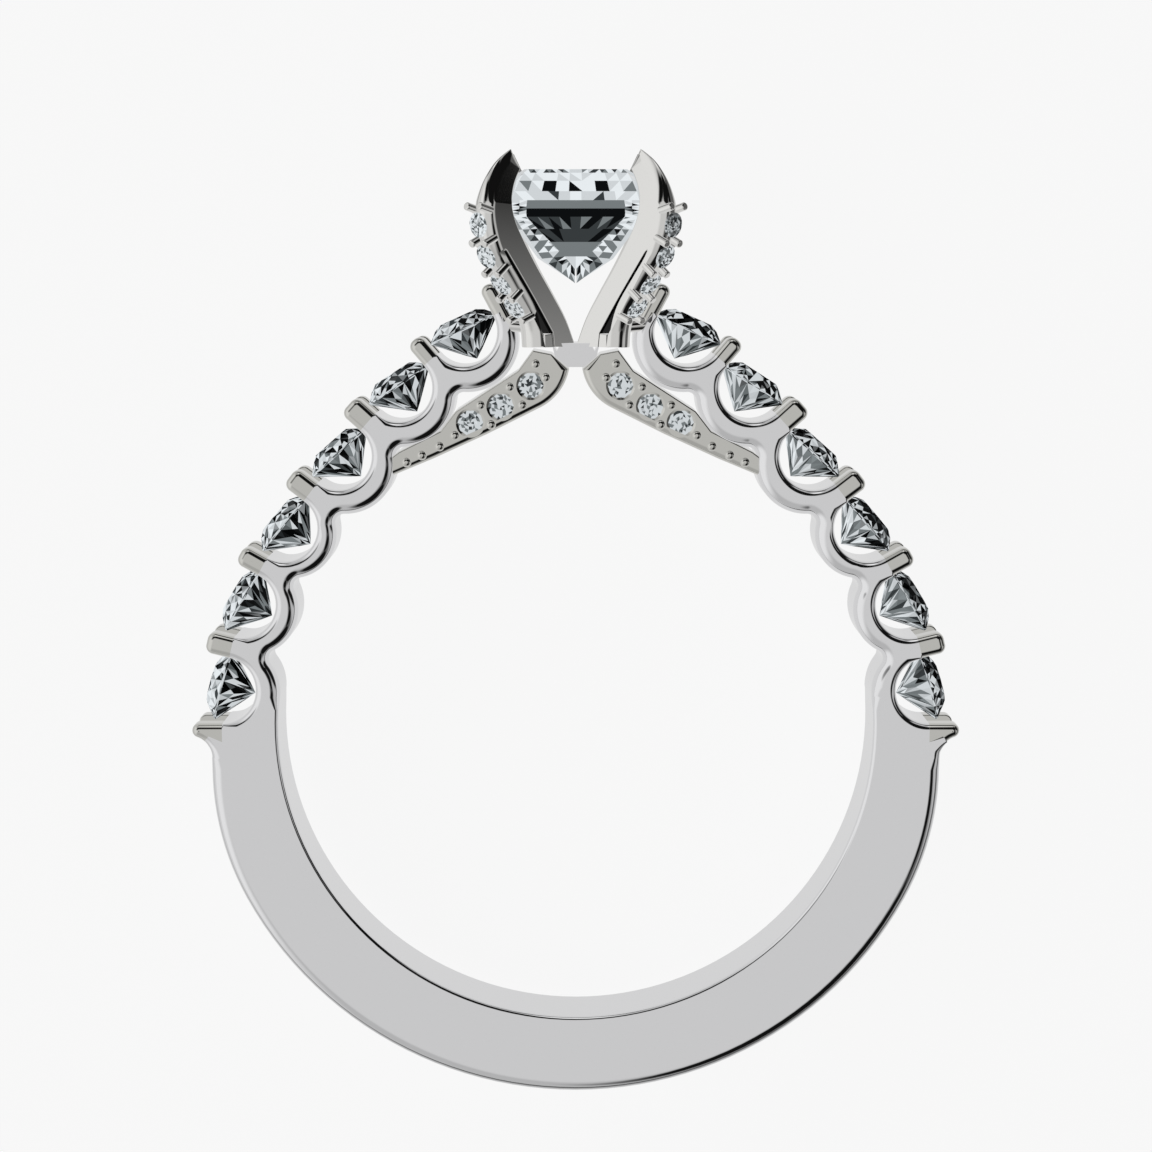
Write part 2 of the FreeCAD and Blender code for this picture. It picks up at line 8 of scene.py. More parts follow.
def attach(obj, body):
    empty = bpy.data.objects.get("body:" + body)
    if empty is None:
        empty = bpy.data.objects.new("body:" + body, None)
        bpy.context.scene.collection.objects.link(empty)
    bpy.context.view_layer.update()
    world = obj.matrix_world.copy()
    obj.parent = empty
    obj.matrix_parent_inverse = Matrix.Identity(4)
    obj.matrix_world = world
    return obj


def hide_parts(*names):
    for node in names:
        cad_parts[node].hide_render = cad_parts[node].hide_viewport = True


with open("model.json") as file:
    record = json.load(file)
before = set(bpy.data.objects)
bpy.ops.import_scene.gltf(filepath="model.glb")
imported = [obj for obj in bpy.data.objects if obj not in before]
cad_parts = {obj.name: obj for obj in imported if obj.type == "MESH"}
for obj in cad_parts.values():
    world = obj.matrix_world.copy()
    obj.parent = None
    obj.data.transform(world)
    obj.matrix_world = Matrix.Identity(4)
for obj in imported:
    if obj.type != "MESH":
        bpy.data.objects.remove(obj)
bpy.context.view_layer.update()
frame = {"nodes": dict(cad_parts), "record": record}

# The ring's own frame: X to the right, Y from the finger hole to the head, Z out of the front
# face, with its origin in the middle of the hole. Lengths in it are in millimetres.
MM = 0.001
HOLE = next(m for m in frame["record"]["mounts"] if m["name"] == "finger_hole")
RING_X = Vector((1.0, 0.0, 0.0))
RING_Z = Vector(HOLE["axis"]).normalized()
RING_Y = RING_Z.cross(RING_X)
RING_TURN = Matrix((RING_X, RING_Y, RING_Z)).transposed().to_4x4()
RING_TO_ROW = Matrix.Translation(Vector(HOLE["pos_m"])) @ RING_TURN

# Camera, in the ring's frame
CAMERA_AT_MM = Vector((0.007, 12.877, 75.817))
CAMERA_DROP_DEG = 6.615
CAMERA_LENS = 85.28
SENSOR = 36.0

# Floor and light
FLOOR_HALF = 0.4
FLOOR_ALBEDO = 0.08
FLOOR_SEEN = 0.90
# Painted glow of the floor that the metal mirrors: its level near the ring and far off, and where it
# fades round the ring and to the left, in metres
FLOOR_NEAR = 0.74
FLOOR_FAR = 0.12
GLOW_ROUND_M = (0.012, 0.024)
GLOW_LEFT_M = (0.010, 0.018)
WHITE = (1.0, 1.0, 1.0, 1.0)
STUDIO_GREY = (0.8, 0.8, 0.8, 1.0)
STUDIO_BASE = 0.66
STUDIO_DARKEST = 0.008
STUDIO_SEEN = 0.94

# Metal: cool on the band, duller on the prongs and the bridge, warm on the claws
METAL_ROUGHNESS = 0.045
BRIGHT_GOLD = (0.83, 0.83, 0.84)
SOFT_GOLD = (0.66, 0.655, 0.62)
WARM_GOLD = (0.80, 0.795, 0.775)
# Near black: painted shade on the walls of the claws' slots, where little light reaches
SLOT_PAINTED_SHADE = (0.006, 0.006, 0.006)

# Band and shoulders, the same sizes as the solid's
MIDDLE = Vector((0.0, 0.0))
FINGER_RADIUS = 8.255
HALF_BAND = 1.15
SHANK_OUTER = FINGER_RADIUS + 2.19
TAPER_ANGLE = 28.0
TAPER_RADIUS = 7.8
LIP_RADIUS = 0.2
LIP_BLEND = 0.6
LIP_REACH = 10.659
LIP_CUT = 0.5
SHOULDER_STONES = [
    # x, y, lean in degrees
    (-3.10, 10.96, 24.4),
    (-4.89, 9.43, 33.0),
    (-6.57, 7.55, 41.6),
    (-8.09, 5.56, 50.0),
    (-9.27, 3.43, 59.0),
    (-9.86, 1.02, 74.8),
]
SEAT_RADIUS = 0.93
SEAT_DROP = 0.05
CRADLE_OUTER = 1.40
CRADLE_DROP = 0.33
NOTCH_BLEND = 0.25
PRONG_RISE = 0.71
PRONG_CORNER = 0.22
TOP_PRONG_LEAN = 28.0
TOP_PRONG_RISE = 0.83
PRONG_GAP = 0.96

# How round the polished edges are
ROUND_SHANK = 0.36
ROUND_BORE = 0.14
ROUND_HUMP = 0.38
ROUND_SEAT = 0.22
ROUND_PRONG = 0.21
ROUND_INSIDE = 0.05
ROUND_BLEND = 0.35

# Bridge arms, beads and base block
ARM_HALF = 1.0
ARM_ROUND = 0.22
ARM_TOP_ROUND = 0.05
ARM_BOTTOM = [(-5.45, 6.80), (-2.60, 8.03), (-0.95, 8.85)]
ARM_END = (-0.18, 9.90)
ARM_TOP = [
    # x, y along the upper edge, from the middle of the ring outwards
    (-0.667, 10.31), (-1.176, 10.41), (-1.585, 9.85), (-3.30, 8.74), (-3.72, 8.20),
    (-4.86, 7.63), (-5.30, 7.30), (-5.55, 6.50),
]
BRIDGE_STONES = [(-1.229, 9.451), (-2.05, 8.874), (-2.89, 8.422)]
BRIDGE_SEAT_RADIUS = 0.40
BRIDGE_SEAT_DEPTH = 0.42
BEAD_RADIUS = 0.145
BEAD_SINK = 0.06
BEAD_SIDE = 0.3
BEAD_LOW_DEG = -20
LONE_BEADS = [
    (-0.824, 9.668), (-1.10, 10.04),
    (-3.322, 8.083), (-3.742, 7.787), (-4.231, 7.541), (-4.654, 7.348),
]
BASE_LEVELS = [
    # y, half width along x, half width along z
    (9.94, 0.50, 0.62),
    (10.60, 0.66, 0.86),
]
BASE_NOTCH_X = 0.52
BASE_NOTCH_HALF = 0.13
BASE_NOTCH_DEPTH = 0.22

# Claws, in the diagonal plane: d is the distance from the head's axis
CLAW_HALF = 0.33
CLAW_FOOT = 10.50
CLAW_INSIDE = [
    # d, y from the foot up to the end face
    (0.33, CLAW_FOOT), (0.73, 11.27), (1.22, 11.94), (1.78, 12.66), (2.30, 13.40),
    (2.62, 13.95), (2.72, 14.40), (2.60, 14.78), (2.44, 15.05), (2.24, 15.30),
]
CLAW_BACK = [
    # d, y from the foot up to the tip
    (1.92, CLAW_FOOT), (1.97, 10.95), (2.17, 11.47), (2.77, 12.25), (3.24, 12.86),
    (3.53, 13.50), (3.64, 14.20), (3.48, 14.83), (3.21, 15.26), (2.92, 15.55), (2.47, 15.82),
]
SLOT = [
    # d, y round the slot: up the strap's side, round its end, then down the rail's side
    (1.21, CLAW_FOOT), (1.26, 10.87), (1.95, 11.79), (2.95, 13.04), (3.00, 13.08),
    (3.07, 13.04), (2.22, 11.85), (1.51, 10.85), (1.50, CLAW_FOOT),
]
RAIL_LINE = [
    # d, y between the strap and the rail: past it the side turns softly to the back
    (1.36, CLAW_FOOT), (1.38, 10.85), (2.08, 11.82), (3.01, 13.04),
]
RAIL_LEAN = 0.42
RAIL_FADE = 0.35
CLAW_TAPER_FROM = 14.40
CLAW_TIP_HALF = 0.03
ROUND_CLAW_BACK = 0.30
ROUND_STRAP = 0.09
ROUND_FINE = 0.03
PIN_ROWS = [14.23, 13.38, 12.60, 11.92, 11.30]
PIN_RADIUS = 0.11
PIN_SIDE = 0.25
PIN_RISE = 0.255
PIN_SINK = 0.20
PIN_BEVEL = 0.045
JOINT_RADIUS = 0.16
JOINT_BEVEL = 0.02
JOINT_FROM = Vector((-1.95, 11.10, 0.95))
JOINT_TO = Vector((-1.36, 11.05, 1.10))

# Small brilliants: bridge and claw stones
BRIDGE_RADIUS = 0.435
PAVE_RISE = 0.05
RAIL_STONE_RADIUS = 0.34
RAIL_RISE = 0.09
SPARKLE_TOP = 0.16
SPARKLE_SWING = 0.22
# Painted reflection tones of the small stones' facets
SPARKLE_TONES = "light white light light grey light dark grey"
SPARKLE_RINGS = [
    # share of the radius, height, corners, turn, how far every other corner is off
    (0.24, 0.17, 8, 0.5, 0.04),
    (0.44, 0.16, 12, 0.0, 0.04),
    (0.62, 0.14, 16, 0.3, 0.04),
    (0.80, 0.10, 20, 0.5, 0.035),
    (0.99, 0.02, 20, 0.0, 0.0),
]

# Round cut of the shoulder stones, as shares of the girdle radius
SHOULDER_RADIUS = 1.0
TABLE_SHARE = 0.56
STAR_SHARE = 0.76
CROWN_SHARE = 0.34
GIRDLE_SHARE = 0.06
PAVILION_SHARE = 0.86
LOWER_SHARE = 0.25
FACET_SWING = 0.26
FACET_OUT = 2.2
# Painted reflection tones of the crown's and the pavilion's facets
CROWN_TONES = "white light white grey light light light dark"
PAVILION_TONES = "light grey light dark grey light grey"
PAVILION_BELOW = -0.05
STONE_HEART = Vector((0.0, 0.0, -0.2))

# Numbers that keep the random looks of neighbouring facets apart
SPARKLE_SEEDS = 977
SCATTER = (12.9898, 78.233, 43758.5453)
STONE_SEED = 97
FACET_SEED = 7
RIGHT_SEED = 31
STRIP_SEEDS = (7, 100, 3)
EDGE_SEEDS = (31, 7, 3)
TABLE_SEEDS = (40, 13, 2)

# Which material paints a facet's tone, as a painted reflection from bright to black, and how it leans
# sideways in degrees
TONES = {
    "white": (0, -27.0), "light": (0, 0.0), "grey": (1, 0.0), "dark": (2, 0.0), "black": (3, 0.0),
}
# Colours of these materials: painted reflections, a bright mirror, grey, dark and near black
FACET_PAINTED_TONES = [
    (0.90, 0.95, 0.98), (0.26, 0.29, 0.30), (0.055, 0.064, 0.068), (0.006, 0.007, 0.008),
]
FACET_SWAY = 5.0

# Square stone: half width of the side and of its flat part at each level
SQUARE_LEVELS = [
    # y, half_width, flat_half
    (15.30, 1.39, 1.28),
    (15.08, 1.72, 1.57),
    (14.46, 1.90, 1.71),
    (14.12, 1.90, 1.71),
    (13.68, 1.60, 1.44),
    (12.90, 1.02, 0.92),
]
SQUARE_CULET = 12.23
SQUARE_STRIPS = [
    # upper y, upper half width, lower y, lower half width, parts, painted reflection tones to pick from
    (15.30, 1.28, 15.20, 1.40, 16, "light white grey light white dark"),
    (15.20, 1.40, 14.98, 1.52, 9, "white white light black white light grey"),
    (14.98, 1.52, 14.70, 1.64, 9, "white light white black white black grey light"),
    (14.70, 1.64, 14.46, 1.71, 11, "white light light dark white light"),
    (14.46, 1.30, 14.24, 1.34, 1, "grey"),
    (14.24, 1.34, 14.02, 1.32, 1, "black"),
    (14.02, 1.32, 13.70, 1.04, 9, "dark dark dark black dark grey"),
    (13.70, 1.04, 13.35, 0.74, 7, "dark dark black dark dark"),
    (13.35, 0.74, 12.96, 0.30, 1, "grey"),
    (12.96, 0.30, 12.62, 0.02, 2, "light white grey"),
]
SQUARE_EDGES = [
    # outer x, outer y, inner x, inner y down the side of the strips
    (1.71, 14.46, 1.30, 14.46),
    (1.71, 14.12, 1.34, 14.02),
    (1.44, 13.68, 1.03, 13.70),
    (0.92, 12.90, 0.30, 12.96),
    (0.02, 12.23, 0.02, 12.62),
]
EDGE_PARTS = 5
EDGE_ROWS = 2
# Painted reflection tones of the small side facets and the cut corners
EDGE_TONES = "white light dark white grey light black light white grey"
TABLE_RINGS = [
    # share of the table, how far every other point is off
    (1.0, 0.0), (0.62, 0.15), (0.30, 0.0), (0.0, 0.0),
]
TABLE_PARTS = 6
TABLE_SWING = 0.45
CORNER_LEAN = (0.2, 1.0, 0.1)

# Mesh fineness, in millimetres where it is a length
SAME_POINT = 1e-5
SAME_VERTEX_M = 1e-9
RADIUS_PULL = 20.0
LEAST_MITRE = 0.4
SEAT_TIP = 0.02
END_RADIUS = 0.0005
TURNED_PARTS = 24
CIRCLE_PARTS = 144
ARC_STEP = math.radians(2.5)
ROUND_STEPS = 8
CORNER = math.radians(24.0)
# Rim steps, clear of the flat sides, whose wall faces get the painted slot shade
SLOT_SHADE_STEPS = range(3, 2 * ROUND_STEPS - 2)
ROOT2 = math.sqrt(2.0)


def row_point(x, y, z):
    """A point of the ring's frame, given in millimetres, in the row's frame in metres."""
    return RING_TO_ROW @ (Vector((x, y, z)) * MM)


def row_direction(x, y, z):
    return (RING_TO_ROW.to_3x3() @ Vector((x, y, z))).normalized()


def pairs(values):
    """Each value with the one after it."""
    return list(zip(values[:-1], values[1:]))


def ringed(values):
    """Each value with the one after it, and the last with the first."""
    return list(zip(values, values[1:] + values[:1]))


# Plane geometry of the side view

def v2(p):
    return Vector((p[0], p[1]))


def polar(radius, degrees):
    a = math.radians(degrees)
    return Vector((radius * math.cos(a), radius * math.sin(a)))


def turned(p):
    """The direction a quarter turn to the left of p."""
    return Vector((-p.y, p.x))


def toward(p, q):
    return (q - p).normalized()


def meeting(c1, r1, c2, r2, side):
    """Where two circles cross; side picks the left (+1) or right (-1) of c1 to c2."""
    gap = (c2 - c1).length
    along = (gap * gap + r1 * r1 - r2 * r2) / (2.0 * gap)
    off = math.sqrt(r1 * r1 - along * along)
    t = toward(c1, c2)
    return c1 + t * along + turned(t) * side * off


def angle_of(p):
    return math.atan2(p.y, p.x)


def arc(centre, start, end, via):
    """Points on an arc about a centre from start to end that passes towards via."""
    full = 2.0 * math.pi
    first = angle_of(start - centre)
    sweep = (angle_of(end - centre) - first) % full
    if (angle_of(via - centre) - first) % full > sweep:
        sweep -= full
    radius = (start - centre).length
    count = max(3, math.ceil(abs(sweep) / ARC_STEP))
    points = []
    for k in range(count + 1):
        a = first + sweep * k / count
        points.append(centre + Vector((math.cos(a), math.sin(a))) * radius)
    return points


def short_arc(centre, start, end):
    """Points on the arc about a centre that goes the short way round."""
    return arc(centre, start, end, (start + end) / 2)


def circle(centre, radius):
    return [centre + polar(radius, 360.0 * k / CIRCLE_PARTS) for k in range(CIRCLE_PARTS)]


def circle_centre(p, q, r):
    """Middle of the circle through three points."""
    n1, n2 = turned(toward(p, q)), turned(toward(q, r))
    return (p + q) / 2 + n1 * (((r - p) / 2).cross(n2) / n1.cross(n2))


def next_centre(centre, leave, end):
    """Middle of the arc that leaves a circle smoothly at one point and ends at another."""
    chord = end - leave
    inward = toward(leave, centre)
    if chord.dot(inward) <= 0.0:
        inward = -inward
    return leave + inward * (chord.length_squared / (2.0 * chord.dot(inward)))


def spline(points, count=8):
    """A smooth curve through points, sampled between each two."""
    p = [v2(q) for q in points]
    p = [p[0] * 2 - p[1]] + p + [p[-1] * 2 - p[-2]]
    made = []
    for i in range(1, len(p) - 2):
        knots = [0.0]
        for j in range(3):
            knots.append(knots[-1] + (p[i + j] - p[i + j - 1]).length ** 0.5)
        for k in range(count):
            t = knots[1] + (knots[2] - knots[1]) * k / count
            level = [p[i - 1], p[i], p[i + 1], p[i + 2]]
            for width in (1, 2, 3):
                nearer = []
                for j in range(4 - width):
                    first = 1 if width == 3 else j
                    low, high = knots[first], knots[2 if width == 3 else j + width]
                    nearer.append(level[j] * (high - t) / (high - low)
                                  + level[j + 1] * (t - low) / (high - low))
                level = nearer
            made.append(level[0])
    made.append(p[-2])
    return made


class Path:
    """A closed outline, gathered run by run, with how round its rim is, where it is cut and where its
    wall gets painted shade.
    """

    def __init__(self):
        self.points, self.radii, self.cuts, self.slot_shade = [], [], [], []

    def run(self, points, radius, cut=False, slot_shade=False):
        """Adds a stretch. A cut one is a flat end that another plate covers; a shaded one gets the
        painted slot shade on its wall.
        """
        for k, p in enumerate(points):
            p = v2(p)
            joined = k == 0 and self.points and (self.points[-1] - p).length < SAME_POINT
            if not joined:
                self.points.append(p)
                self.radii.append(radius)
                self.cuts.append(False)
                self.slot_shade.append(False)
            if k < len(points) - 1:
                self.cuts[-1] = cut
                self.slot_shade[-1] = slot_shade

    def close(self):
        """Joins the end to the start and turns the outline anticlockwise."""
        if (self.points[-1] - self.points[0]).length < SAME_POINT:
            for values in (self.points, self.radii, self.cuts, self.slot_shade):
                values.pop()
        if sum(p.cross(q) for p, q in ringed(self.points)) < 0.0:
            self.points.reverse()
            self.radii.reverse()
            self.cuts = self.cuts[::-1][1:] + [self.cuts[-1]]
            self.slot_shade = self.slot_shade[::-1][1:] + [self.slot_shade[-1]]
        return self

    def entries(self):
        """Point number, outward normal, inset direction, radius and cut flag, two at a corner."""
        n = len(self.points)
        sides = [toward(p, q) for p, q in ringed(self.points)]
        lengths = [(q - p).length for p, q in ringed(self.points)]
        corner = []
        for i in range(n):
            bend = sides[i - 1].angle(sides[i])
            corner.append(bend > CORNER or self.cuts[i - 1] != self.cuts[i])
        radii = self.soft_radii(lengths, corner)
        made = []
        for i in range(n):
            a, b = sides[i - 1], sides[i]
            if not corner[i]:
                t = (a * lengths[i] + b * lengths[i - 1]).normalized()
                normal = Vector((t.y, -t.x))
                radius = 0.0 if self.cuts[i] else radii[i]
                made.append((i, normal, normal, radius, self.cuts[i]))
                continue
            # A curve that ends at the corner goes on turning by half a step
            if not corner[i - 1] and not self.cuts[i - 1]:
                a = (a * 1.5 - sides[i - 2] * 0.5).normalized()
            if not corner[(i + 1) % n] and not self.cuts[i]:
                b = (b * 1.5 - sides[(i + 1) % n] * 0.5).normalized()
            na, nb = Vector((a.y, -a.x)), Vector((b.y, -b.x))
            radius = radii[i]
            if self.cuts[i - 1] and self.cuts[i]:
                inset, radius = na, 0.0
            elif self.cuts[i - 1]:
                inset = nb
            elif self.cuts[i]:
                inset = na
            else:
                inset = (na + nb) / max(LEAST_MITRE, 1.0 + na.dot(nb))
            made.append((i, na, inset, radius, self.cuts[i - 1]))
            made.append((i, nb, inset, radius, self.cuts[i]))
        return made

    def soft_radii(self, lengths, corner):
        """Radii that change gradually along the outline, but not past a corner."""
        n = len(self.points)
        made = []
        for i in range(n):
            total, weight = self.radii[i], 1.0
            for step in (1, -1):
                far, j = 0.0, i
                while not (corner[j] and j != i):
                    if corner[i] and self.cuts[i if step == 1 else i - 1]:
                        break
                    far += lengths[j if step == 1 else j - 1]
                    j = (j + step) % n
                    if far > ROUND_BLEND or self.cuts[j if step == -1 else j - 1]:
                        break
                    share = (1.0 - far / ROUND_BLEND) * lengths[j] * RADIUS_PULL
                    total += self.radii[j] * share
                    weight += share
            made.append(total / weight)
        return made


class Form:
    """Faces gathered from plates, turned pieces and facets, as one mesh with its own normals and a
    material per face, some of which paint tones of shade or reflection.
    """

    def __init__(self):
        self.verts, self.normals, self.faces, self.painted_tone = [], [], [], []

    def vertex(self, position, normal):
        self.verts.append(row_point(*position))
        self.normals.append(row_direction(*normal))
        return len(self.verts) - 1

    def face(self, corners, painted_tone=0):
        """A face that looks the way its corners' normals do, unless it has no area."""
        kept = []
        for c in corners:
            if all((self.verts[c] - self.verts[k]).length > SAME_VERTEX_M for k in kept):
                kept.append(c)
        if len(kept) < 3:
            return
        a, b, c = (self.verts[k] for k in kept[:3])
        across = (b - a).cross(c - a)
        if len(kept) == 4:
            across += (c - a).cross(self.verts[kept[3]] - a)
        facing = Vector((0.0, 0.0, 0.0))
        for k in kept:
            facing += self.normals[k]
        if across.dot(facing) < 0.0:
            kept.reverse()
        self.faces.append(kept)
        self.painted_tone.append(painted_tone)

    def plate(self, path, low, high, place, low_round=math.inf, bend=None, holes=()):
        """A plate between two levels whose rims are rounded; place maps it into the ring."""
        entries = path.close().entries()
        quarter = [math.radians(90.0 * k / ROUND_STEPS) for k in range(ROUND_STEPS + 1)]

        def put(p, z, normal):
            position, direction = Vector((p.x, p.y, z)), Vector(normal)
            if bend:
                position, direction = bend(position, direction)
            return self.vertex(place(position), place(direction))

        rings = []
        rims = {-1: {}, 1: {}}
        for side, a in [(-1, a) for a in reversed(quarter)] + [(1, a) for a in quarter]:
            ring = []
            for i, normal, inset, radius, cut in entries:
                r = min(radius, low_round) if side < 0 else radius
                p = path.points[i] - inset * (r * (1.0 - math.cos(a)))
                z = high - r * (1.0 - math.sin(a)) if side > 0 else low + r * (1.0 - math.sin(a))
                flat = cut or r == 0.0
                across = 1.0 if flat else math.cos(a)
                out = (normal.x * across, normal.y * across, 0.0 if flat else side * math.sin(a))
                ring.append(put(p, z, out))
                if a == quarter[-1]:
                    rims[side].setdefault(i, p)
            rings.append(ring)
        for step, (lower, upper) in enumerate(pairs(rings)):
            walls = ringed(list(zip([entry[0] for entry in entries], lower, upper)))
            for (i, low_a, high_a), (j, low_b, high_b) in walls:
                if i != j:
                    # Wall faces of a shaded stretch take the second material, its painted shade
                    slot_shade = 1 if step in SLOT_SHADE_STEPS and path.slot_shade[i] else 0
                    self.face([low_a, low_b, high_b, high_a], slot_shade)
        for side, z in ((-1, low), (1, high)):
            rim = [rims[side][i] for i in range(len(path.points))]
            self.plate_side(rim, z, side, holes, put)

    def plate_side(self, rim, z, side, holes, put):
        """One flat side of a plate, with a conical seat in each of its holes."""
        loops = [rim] + [circle(centre, radius) for centre, radius, depth in holes]
        ids = [put(p, z, (0, 0, side)) for loop in loops for p in loop]
        for triangle in tessellate_polygon([[p.to_3d() for p in loop] for loop in loops]):
            self.face([ids[k] for k in triangle])
        for loop, (centre, radius, depth) in zip(loops[1:], holes):
            slope = math.hypot(radius, depth)
            cone = []
            for p in loop:
                inward = toward(p, centre)
                out = (inward.x * depth / slope, inward.y * depth / slope, side * radius / slope)
                tip = put(centre - inward * SEAT_TIP, z - side * depth, out)
                cone.append((put(p, z, out), tip))
            for (a, c), (b, d) in ringed(cone):
                self.face([a, b, d, c])

    def turned_piece(self, root, axis, profile):
        """A round piece about an axis from rows of height, radius, normal along and across."""
        axis = axis.normalized()
        side = axis.orthogonal().normalized()
        other = axis.cross(side)
        rings = []
        for height, radius, along, out in profile:
            ring = []
            for k in range(TURNED_PARTS):
                a = 2.0 * math.pi * k / TURNED_PARTS
                way = side * math.cos(a) + other * math.sin(a)
                ring.append(self.vertex(root + axis * height + way * radius,
                                        axis * along + way * out))
            rings.append(ring)
        for lower, upper in pairs(rings):
            for (a, d), (b, c) in ringed(list(zip(lower, upper))):
                self.face([a, b, c, d])

    def piece(self, name, materials, slot, nodes):
        """Makes the object that is seen in place of the nodes."""
        mesh = bpy.data.meshes.new(name)
        mesh.from_pydata(self.verts, [], self.faces)
        mesh.polygons.foreach_set("use_smooth", [True] * len(mesh.polygons))
        mesh.normals_split_custom_set_from_vertices(self.normals)
        for material in materials:
            mesh.materials.append(material)
        mesh.polygons.foreach_set("material_index", self.painted_tone)
        made = add_object(name, mesh)
        made.visible_glossy = False
        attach(made, "root")
        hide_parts(*nodes)


def plain(v):
    return v


def mirrored(v):
    return Vector((-v.x, v.y, v.z))


def below_stones(drop):
    """A point under each shoulder stone, nearer the finger by the drop, and the stone's axis."""
    centres = []
    for x, y, lean in SHOULDER_STONES:
        a = math.radians(lean)
        axis = Vector((-math.sin(a), math.cos(a)))
        centres.append((Vector((x, y)) - axis * drop, axis))
    return centres


def cradle_radius(centre):
    return min(CRADLE_OUTER, centre.length - FINGER_RADIUS)


def prong_tip(foot_in, foot_out, rise, outward):
    """Two sides and a rounded end of a bar between two feet."""
    across = -turned(outward)
    top_in = foot_in + outward * rise
    top_out = foot_out + outward * (top_in - foot_out).dot(outward)
    c = PRONG_CORNER
    a, b = top_in - outward * c, top_in + across * c
    d, e = top_out - across * c, top_out - outward * c
    corner_in, corner_out = a + across * c, e - across * c
    tip = arc(corner_in, a, b, corner_in + outward - across)
    tip += arc(corner_out, d, e, corner_out + outward + across)
    return [foot_in, (foot_in + a * 2.0) / 3.0], tip, [(foot_out + e * 2.0) / 3.0, foot_out]


def prong_places():
    """Feet, rise and outward direction of the bars between neighbours and of the top prong."""
    seats = below_stones(SEAT_DROP)
    centres = below_stones(CRADLE_DROP)
    places = []
    for i in range(len(seats) - 1, 0, -1):
        t = toward(seats[i][0], seats[i - 1][0])
        side = seats[i][0] + t * SEAT_RADIUS
        other = seats[i - 1][0] - t * SEAT_RADIUS
        places.append((side, other, PRONG_RISE, turned(t)))
    lean = math.radians(TOP_PRONG_LEAN)
    across = Vector((math.cos(lean), math.sin(lean)))
    side = seats[0][0] + across * SEAT_RADIUS
    outer = centres[0][0] + across * CRADLE_OUTER
    places.append((side, outer, TOP_PRONG_RISE, turned(across)))
    return places


def lip_runs():
    """The shank with its taper, the lip below and above its cut, and the cut's inner corner."""
    seats = below_stones(SEAT_DROP)
    taper = polar(SHANK_OUTER, 180.0 + TAPER_ANGLE)
    taper_centre = polar(SHANK_OUTER - TAPER_RADIUS, 180.0 + TAPER_ANGLE)
    lip_top = seats[-1][0].y - SEAT_RADIUS
    lip = Vector((-LIP_REACH + LIP_RADIUS, lip_top - LIP_RADIUS))
    hollow = meeting(lip, LIP_RADIUS + LIP_BLEND, taper_centre, TAPER_RADIUS + LIP_BLEND, -1)
    leave = hollow + toward(hollow, taper_centre) * LIP_BLEND
    join = hollow + toward(hollow, lip) * LIP_BLEND
    shank = short_arc(MIDDLE, Vector((0.0, -SHANK_OUTER)), taper)
    rise = short_arc(taper_centre, taper, leave)
    rest = short_arc(hollow, leave, join) + short_arc(lip, join, Vector((lip.x, lip_top)))
    foot = Vector((seats[-1][0].x, lip_top))
    cut = foot - Vector((0.0, LIP_CUT))
    under = [p for p in rest if p.y < cut.y]
    over = [p for p in rest if p.y >= cut.y] + [foot]
    return shank + rise[1:], under, over, cut


def band_path():
    """The whole band seen from the front, with its prongs and its lip cut off square."""
    seats = below_stones(SEAT_DROP)
    centres = below_stones(CRADLE_DROP)
    shank, under, over, cut = lip_runs()
    foot = over[-1]
    half = [(shank, ROUND_SHANK, False), (under, ROUND_SEAT, False)]
    half.append(([under[-1], cut, foot], 0.0, True))
    places = prong_places()
    for k, (side, other, rise, outward) in enumerate(places):
        seat, axis = seats[len(seats) - 1 - k]
        half.append((arc(seat, foot, side, seat - axis), ROUND_SEAT, False))
        half.append(([side, other], 0.0, True))
        foot = other
    here = foot
    for i in range(len(centres) - 1):
        c1, c2 = centres[i][0], centres[i + 1][0]
        r1, r2 = cradle_radius(c1), cradle_radius(c2)
        notch = meeting(c1, r1 + NOTCH_BLEND, c2, r2 + NOTCH_BLEND, 1)
        start = notch + toward(notch, c1) * NOTCH_BLEND
        end = notch + toward(notch, c2) * NOTCH_BLEND
        half.append((short_arc(c1, here, start), ROUND_HUMP, False))
        half.append((short_arc(notch, start, end), ROUND_HUMP, False))
        here = end
    last = centres[-1][0]
    touch = last.normalized() * FINGER_RADIUS
    half.append((short_arc(last, here, touch), ROUND_HUMP, False))
    bore = short_arc(MIDDLE, touch, Vector((0.0, -FINGER_RADIUS)))
    half.append((bore, ROUND_BORE, False))
    path = Path()
    for points, radius, cut in half:
        path.run(points, radius, cut)
    for points, radius, cut in reversed(half):
        path.run([Vector((-p.x, p.y)) for p in reversed(points)], radius, cut)
    return path


def build_band():
    """Shank and shoulders, up to the feet of the prongs."""
    form = Form()
    form.plate(band_path(), -HALF_BAND, HALF_BAND, plain, ROUND_SHANK)
    return form


def add_prongs(form):
    """Front and back prongs of each bar, and the two halves of each lip."""
    inner = PRONG_GAP / 2.0
    for place in (plain, mirrored):
        for sign in (1, -1):
            def put(v, place=place, sign=sign):
                return place(Vector((v.x, v.y, sign * v.z)))
            for side, other, rise, outward in prong_places():
                path = Path()
                up, tip, down = prong_tip(side, other, rise, outward)
                path.run(up, ROUND_SEAT)
                path.run([up[-1]] + tip + [down[0]], ROUND_PRONG)
                path.run(down, ROUND_SEAT)
                path.run([other, side], 0.0, True)
                form.plate(path, inner, HALF_BAND, put, ROUND_INSIDE)
            shank, under, over, cut = lip_runs()
            path = Path()
            path.run([under[-1]] + over, ROUND_SEAT)
            path.run([over[-1], cut, under[-1]], 0.0, True)
            form.plate(path, inner, HALF_BAND, put, ROUND_INSIDE)


